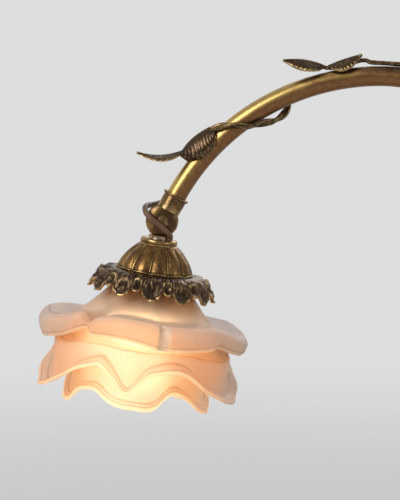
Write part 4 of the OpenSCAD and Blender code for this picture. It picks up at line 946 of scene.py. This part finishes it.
# From the pivot
LEAD_POINTS = [
    [8.25, 8.7, 14.3], [8.25, 9.8, 14.3], [8.1, 11.7, 14.2], [6.8, 13.9, 13.6], [4.1, 15.2, 12.6],
    [0.4, 15.3, 11.4], [-4.2, 13.2, 10.3], [-8.5, 8.9, 10], [-11.1, 2.7, 9.9], [-11.8, -3.5, 8.7],
    [-10.6, -8.8, 5.7], [-6.2, -11.4, 1.3], [-1.4, -11.5, -2.4], [2, -11.3, -5.6], [4.5, -9.9, -8.2],
    [5.75, -7.9, -10.3]]


def knuckle_lead():
    pivot = np.array([PIVOT[0], 0, PIVOT[1]])
    entry = head([LEAD_WAY * math.cos(LEAD_TURN), LEAD_WAY * math.sin(LEAD_TURN), -COLLAR_S])
    axis = head([0, 0, 1]) - head([0, 0, 0])
    points = [pivot + p for p in LEAD_POINTS] + [entry + LEAD_STRAIGHT * axis, entry + LEAD_GAP * axis]
    path = smooth_path(points, LEAD_STEPS)
    rings = round_rings(path, np.full(len(path), LEAD_R), np.array([0.3, 0.1, 1]), LEAD_SIDES)
    made = piece("bare_lead", [ended(rings)], None, "lead_sheath", ["knuckle_flex"])
    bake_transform(made)


# ---- The glass: a rose in three tiers of folded petals; depths are below its neck ----
GLASS_AROUND = 400
GLASS_T = 2.6
FLAT_R, NECK_HOLE_R, BODY_R = 21.0, 14.9, 46.0
SHOULDER_R, SHOULDER_Z = 36.6, 14.6
# Distances that stand for "nowhere near" a rim or a fold
NO_RIM, NO_FOLD = 30.0, 20.0
# The tables give values round the glass, by the angle from +X
# Upper tier: the depth of its fold
UPPER_FOLD = {0: 29, 15: 26.5, 30: 24.5, 47: 25, 62: 24, 80: 22, 100: 22, 118: 26, 128: 31, 135: 29.5,
    143: 28.3, 160: 27.4, 182: 27.5, 192: 29, 203: 28, 215: 24.5, 223: 22, 228: 28.5, 232: 25.2, 241: 21.5,
    251: 19.7, 264: 19.3, 271: 19.8, 278: 20.8, 284: 20.6, 305: 20.3, 317: 19.5, 330: 22, 345: 27}
# Upper tier: the depth of its hem
UPPER_HEM = {0: 41, 20: 39, 45: 37, 62: 34, 80: 37, 100: 37, 118: 35, 128: 34, 140: 39, 160: 44, 182: 47,
    200: 44.5, 212: 41, 220: 36.5, 228: 32.5, 234: 35.5, 243: 35, 252: 34, 264: 34.5, 273: 36.3, 279: 37.5,
    285: 37.3, 294: 37, 308: 35.7, 325: 34.8, 332: 37, 340: 39}
# Upper tier: the radius of its fold
UPPER_REACH = {0: 66, 30: 66.5, 50: 65, 62: 60, 80: 62, 100: 62, 118: 60, 128: 57, 140: 64, 160: 68,
    182: 69.5, 205: 67, 220: 60, 228: 55, 234: 58.5, 245: 62, 265: 63.5, 290: 63, 310: 63, 325: 60, 333: 62,
    345: 65}
# Middle tier: the depth of its hem, with five sharp droops
MIDDLE_HEM = {0: 66, 12: 57.5, 25: 54, 35: 58, 47: 70, 58: 60, 70: 54, 90: 54, 105: 60, 119: 71, 133: 60,
    145: 54, 160: 58, 175: 71, 187: 79, 197: 78.5, 206: 75, 215: 70, 220: 66.5, 230: 59.5, 238: 56,
    245: 54.2, 251: 58.5, 256: 63.2, 260: 68.2, 263.5: 70.4, 267.5: 66.4, 271: 61.4, 275.6: 56.6, 281: 54.2,
    290: 52, 300: 54, 308: 59, 315: 64, 322: 67, 331: 70.3, 340: 72.6, 350: 72}
# Lowest tier: the depth of its hem, with a broad droop at the front
LOWEST_HEM = {0: 82, 10: 74, 20: 72, 32: 73, 42: 80, 54: 85, 66: 80, 78: 74, 90: 72, 102: 74, 114: 81,
    126: 85, 138: 80, 150: 74, 162: 72, 175: 76, 186: 84, 196: 87.5, 205: 86, 212: 80, 219: 76.5, 226: 75,
    234: 74.5, 239: 75.9, 244: 78.6, 249: 80.8, 258: 82.3, 270: 82.6, 280: 82.2, 287: 79.6, 292: 75,
    297: 70.8, 303: 69.6, 310: 71.3, 318: 74.6, 327: 79.6, 337: 82.6, 348: 84}
# How much of the bulb's light comes through
LIGHT = {0: 0.18, 60: 0.3, 130: 0.3, 185: 0.3, 205: 0.5, 223: 0.72, 240: 0.92, 263: 1.0, 280: 0.88,
    300: 0.60, 318: 0.42, 340: 0.26}


def cubic(f, start, start_slope, end, end_slope):
    """A smooth way from start to end with these slopes, at a share of it"""
    return ((2 * f ** 3 - 3 * f ** 2 + 1) * start + (f ** 3 - 2 * f ** 2 + f) * start_slope
            + (3 * f ** 2 - 2 * f ** 3) * end + (f ** 3 - f ** 2) * end_slope)


def around(knots, a):
    """A smooth closed curve through knots of angle and value"""
    x, y = np.array(list(knots.items()), float).T
    x = np.concatenate([x[-2:] - 360, x, x[:2] + 360])
    y = np.concatenate([y[-2:], y, y[:2]])
    slope = np.gradient(y, x)
    k = np.searchsorted(x, a, side="right") - 1
    h = x[k + 1] - x[k]
    return cubic((a - x[k]) / h, y[k], h * slope[k], y[k + 1], h * slope[k + 1])


def pleat(a):
    """The narrow fold in the front of the upper tier, sharp on its left"""
    return soft_step(a, 277.6, 279.2) * (1 - soft_step(a, 280.0, 286.5))


def toward(start, end, shares):
    """Rows between two, of radius and depth; each share says how far the radius and the depth have gone"""
    return [(start[0] + f * (end[0] - start[0]), start[1] + g * (end[1] - start[1])) for f, g in shares]


def petal_faces(rows, a, folds, under_from, lit, under_lit):
    """A petal's outer face from root to hem, its rounded hem, and its lower face back to the body"""
    outer = np.array([np.stack([r + 0 * a, z + 0 * a], -1) for r, z in rows])
    lit = np.array(lit)[:, :, None]
    way = np.gradient(outer, axis=0)
    way /= np.linalg.norm(way, axis=-1, keepdims=True)
    inward = np.stack([-way[..., 1], way[..., 0]], -1)
    step = np.linalg.norm(np.diff(outer, axis=0), axis=-1)
    to_rim = np.concatenate([np.cumsum(step[::-1], axis=0)[::-1], np.zeros_like(step[:1])])
    to_fold = np.min([np.abs(to_rim - to_rim[k]) for k in folds], axis=0)[..., None]
    to_rim = to_rim[..., None]
    far = np.full_like(to_rim, NO_FOLD)
    thick = GLASS_T * (1 - 0.25 * bell(to_rim, 5.0))
    face = np.concatenate([outer, to_rim, to_fold, lit], -1)
    hem = outer[-1:] + 0.5 * thick[-1:] * inward[-1:] + 0.4 * way[-1:]
    hem = np.concatenate([hem, 0 * to_rim[-1:], far[-1:], lit[-1:]], -1)
    below = np.broadcast_to(under_lit[None, :, None], lit.shape)
    under = np.concatenate([outer + thick * inward, to_rim + 1.5, far, below], -1)
    return [face, hem, under[under_from:][::-1]]


def upper_petals(a, light):
    fold_z, hem_z = around(UPPER_FOLD, a), around(UPPER_HEM, a)
    ripple = 0.5 * np.sin(np.radians(13 * a)) + 0.35 * np.sin(np.radians(23 * a + 50))
    fold_r = around(UPPER_REACH, a) - 4.2 * pleat(a) + 0.5 * ripple
    out_r, hem_r = fold_r + 6.2, fold_r + 4.6 - 2.4 * soft_step(hem_z, 38, 46) + ripple
    rows = toward((SHOULDER_R, SHOULDER_Z), (fold_r, fold_z),
                  ((0.2, 0.56), (0.4, 0.9), (0.68, 1.02), (0.88, 1), (1, 1)))
    rows += toward((fold_r, fold_z), (out_r, hem_z), ((0.55, 0.14), (0.88, 0.32)))
    rows += toward((out_r, fold_z), (hem_r, hem_z), ((0, 0.5), (0.4, 0.76), (1, 1)))
    # The roots lie in painted shade under the gallery, and the pleat gets painted shade too
    lit = [w + 0 * a for w in (-0.3, -0.22, -0.05)] + [w * light for w in (0.05, 0.12)]
    lit += [w * light - 0.6 * pleat(a) for w in (0.25, 0.32, 0.36, 0.4, 0.42)]
    return petal_faces(rows, a, [4], 1, lit, 0.7 * light)


def middle_petals(a, light):
    hem_z = around(MIDDLE_HEM, a)
    droop = soft_step(hem_z, 52, 74)
    fold_z = 40.6 + 4.5 * droop * (1 - bell((a - 263.5), 14)) + 0.7 * bell(a - 263, 30)
    crease_z = np.maximum(fold_z + 4.5, hem_z - 3.5 - 2.2 * (1 - droop))
    fold_r = 57.5 + 2.5 * droop + 0.5 * np.sin(np.radians(11 * a))
    crease_r = 61.0 + 2.0 * droop
    hem_r = 67.2 + 3.2 * droop * (1 - 0.6 * bell(a - 263.5, 18)) + 0.6 * np.sin(np.radians(19 * a + 30))
    rows = [(BODY_R + 3.5, 38.9), (0.4 * (BODY_R + 1) + 0.6 * fold_r, fold_z - 0.9), (fold_r, fold_z),
            (fold_r + 2.2, fold_z + 2.2)]
    rows += toward((fold_r + 2.6, fold_z + 2.2), (crease_r - 1.0, crease_z - 1.4), ((0.3, 0.3), (0.62, 0.62)))
    rows += [(crease_r - 0.6, crease_z - 1.4), (crease_r + 0.9, crease_z)]
    rows += toward((crease_r, crease_z), (hem_r, hem_z), ((0.6, 0.35), (1, 1)))
    lit = [w * light for w in (1.1, 1.05, 0.95, 0.85, 0.9, 0.85, 0.75, 0.6, 0.7, 0.75)]
    return petal_faces(rows, a, [2, 7], 1, lit, 0.9 * light)


def lowest_petals(a, light):
    hem_z = around(LOWEST_HEM, a)
    droop = soft_step(hem_z, 70, 86)
    crease_r, crease_z = BODY_R + 0.6 + 1.0 * droop, hem_z - 4.2
    hem_r = BODY_R + 4.4 + 1.6 * droop + 0.4 * np.sin(np.radians(17 * a))
    rows = [(BODY_R + 0.8, 49), (BODY_R + 0.9, 55)]
    rows += toward((BODY_R + 0.8, 55), (crease_r - 0.6, crease_z - 2), ((0.35, 0.35), (0.7, 0.7)))
    rows += [(crease_r - 0.6, crease_z - 1.6), (crease_r + 0.7, crease_z)]
    rows += toward((crease_r, crease_z), (hem_r, hem_z), ((0.6, 0.42), (1, 1)))
    lit = [w * light for w in (1.0, 1.0, 1.0, 1.05, 1.0, 0.85, 0.85, 0.9)]
    return petal_faces(rows, a, [5], 0, lit, 0.8 + 0 * a)


def glass_rows(a):
    """Rows of the glass's section at every angle: radius, depth, distances to the rim and fold, and light"""
    light = around(LIGHT, a)

    def row(r, z, lit):
        return np.stack([v + 0 * a for v in (r, z, NO_RIM, NO_FOLD, lit)], -1)[None]

    def slope(f, inset, lit):
        r, z = FLAT_R + (SHOULDER_R - FLAT_R) * f, SHOULDER_Z * f ** 1.25
        return row(r - 0.75 * inset, z + 0.55 * inset, lit)

    # Near the neck the light is below zero: painted shade under the gallery
    rows = [row(NECK_HOLE_R, 0, -1)] + [slope(f, 0, f * 0.5 - 0.9) for f in (0.0, 0.2, 0.4, 0.6, 0.8)]
    rows += upper_petals(a, light)
    under_root = SHOULDER_Z + 0.8 * (around(UPPER_FOLD, a) - SHOULDER_Z) + GLASS_T + 1.2
    rows += [row(BODY_R - 1.6, under_root, light), row(BODY_R + 0.1, 0.5 * (under_root + 36), 1.25 * light),
             row(BODY_R + 0.5, 36, 1.35 * light)]
    rows += middle_petals(a, light)
    rows += [row(BODY_R + 1.0, 43.5, 1.1 * light)]
    rows += lowest_petals(a, light)
    rows += [row(BODY_R - 2.2, 42, 0.9), row(BODY_R - 2.6, 32, 0.9), row(BODY_R - 4.6, 24, 0.8)]
    rows += [slope(0.85, GLASS_T, 0.6), slope(0.5, GLASS_T, 0.4), slope(0.2, GLASS_T + 0.8, 0.2)]
    rows += [row(FLAT_R - 0.4, GLASS_T, 0), row(NECK_HOLE_R, GLASS_T, 0)]
    return np.concatenate(rows)


def closed_smooth(rows, steps):
    """Sets rows between the given ones on a smooth closed section, a little tight so that rims stay crisp"""
    made = []
    for i, b in enumerate(rows):
        a, c, d = rows[i - 1], rows[(i + 1) % len(rows)], rows[(i + 2) % len(rows)]
        made += [cubic(f, b, 0.42 * (c - a), c, 0.42 * (d - b)) for f in np.arange(steps) / steps]
    return np.array(made)


def rose_shade():
    a = 360 * np.arange(GLASS_AROUND) / GLASS_AROUND
    r, z, from_rim, from_fold, lit = np.moveaxis(closed_smooth(glass_rows(a), 3).transpose(1, 0, 2), -1, 0)
    points = head(turned(r, NECK_S + z, np.radians(a)[:, None]))
    piece("rose_shade", [closed(points)], "head", "frosted_glass", ["glass_shade"],
          {"from_rim": from_rim, "from_fold": from_fold, "lit": lit})


gallery()
arm()
foot()
stem_vine()
crown_vine()
end_vine()
knuckle_lead()
rose_shade()

# ---- The construction's own pieces take the finish of their slot ----
for part in frame["record"]["subparts"]:
    made = nodes[part["node"]]
    made.data.materials.clear()
    made.data.materials.append(FINISHES[part["material_slot"]])

# ---- Floor, light and background ----
BACKGROUND = (0.728, 0.728, 0.735)
FLOOR_R, FLOOR_SIDES = 30.0, 96


def floor():
    """A pale round floor, which far from the lamp is seen in the background's colour"""
    made, g, sockets = new_material("floor", Roughness=0.9)
    g.feed(sockets["Base Color"], g.mix(g.noise(1.2, 2), (0.74, 0.735, 0.725), (0.76, 0.755, 0.75)))
    away = g.node("ShaderNodeVectorMath", {0: g.place()}, operation="LENGTH").outputs["Value"]
    near = g.between(away, 1.6, 0.5)
    seen = g.node("ShaderNodeLightPath").outputs["Is Camera Ray"]
    plain = g.node("ShaderNodeEmission", {"Color": BACKGROUND, "Strength": 1.0})
    share = g.math("MULTIPLY", seen, g.math("SUBTRACT", 1.0, near))
    shader = made.node_tree.nodes["Principled BSDF"]
    both = g.node("ShaderNodeMixShader", {0: share, 1: shader.outputs[0], 2: plain.outputs[0]})
    g.feed(made.node_tree.nodes["Material Output"].inputs["Surface"], both.outputs[0])
    mesh = bpy.data.meshes.new("floor")
    turn = 2 * np.pi * np.arange(FLOOR_SIDES) / FLOOR_SIDES
    mesh.from_pydata(turned(FLOOR_R, 0 * turn, turn).tolist(), [], [tuple(range(FLOOR_SIDES))])
    mesh.materials.append(made)
    ground = bpy.data.objects.new("floor", mesh)
    bpy.context.scene.collection.objects.link(ground)


def world():
    """Even light for the surfaces; what is seen directly, in metal and through glass is a pale room"""
    made = bpy.data.worlds.new("room")
    bpy.context.scene.world = made
    made.use_nodes = True
    made.node_tree.nodes.clear()
    g = Graph(made.node_tree)
    path = g.node("ShaderNodeLightPath").outputs
    way = g.node("ShaderNodeSeparateXYZ", {0: g.node("ShaderNodeTexCoord").outputs["Generated"]}).outputs
    behind = g.between(way[1], -0.35, 0.45)
    room = g.mix(behind, (0.16, 0.155, 0.15), (0.74, 0.74, 0.74))
    above = g.between(way[2], 0.1, 0.8)
    room = g.mix(g.math("MULTIPLY", above, 0.6), room, (0.55, 0.55, 0.56))
    mirrored = g.mix(path["Is Glossy Ray"], BACKGROUND, room)
    in_glass = g.math("MAXIMUM", path["Is Glossy Ray"], path["Is Transmission Ray"])
    seen = g.math("MAXIMUM", path["Is Camera Ray"], in_glass)
    light = g.node("ShaderNodeBackground", {"Color": (1.0, 0.99, 0.97), "Strength": 0.42})
    view = g.node("ShaderNodeBackground", {"Color": mirrored, "Strength": 1.0})
    both = g.node("ShaderNodeMixShader", {0: seen, 1: light.outputs[0], 2: view.outputs[0]})
    g.node("ShaderNodeOutputWorld", {"Surface": both.outputs[0]})


def soft_box(name, place, aim, width, height, watts, colour=(1, 1, 1)):
    data = bpy.data.lights.new(name, "AREA")
    data.shape = "RECTANGLE"
    data.size, data.size_y, data.energy, data.color = width, height, watts, colour
    made = bpy.data.objects.new(name, data)
    made.location = place
    made.rotation_euler = (Vector(aim) - Vector(place)).to_track_quat("-Z", "Y").to_euler()
    bpy.context.scene.collection.objects.link(made)


floor()
world()
soft_box("window", (-1.5, -1.35, 1.55), (-0.15, 0, 0.33), 1.3, 1.5, 30, (1.0, 0.985, 0.96))
soft_box("fill", (1.7, -1.2, 0.9), (-0.1, 0, 0.25), 1.2, 1.2, 6)
soft_box("back", (0.6, 1.8, 1.5), (-0.1, 0, 0.3), 1.4, 1.0, 9)
bpy.context.scene.view_settings.view_transform = "Standard"
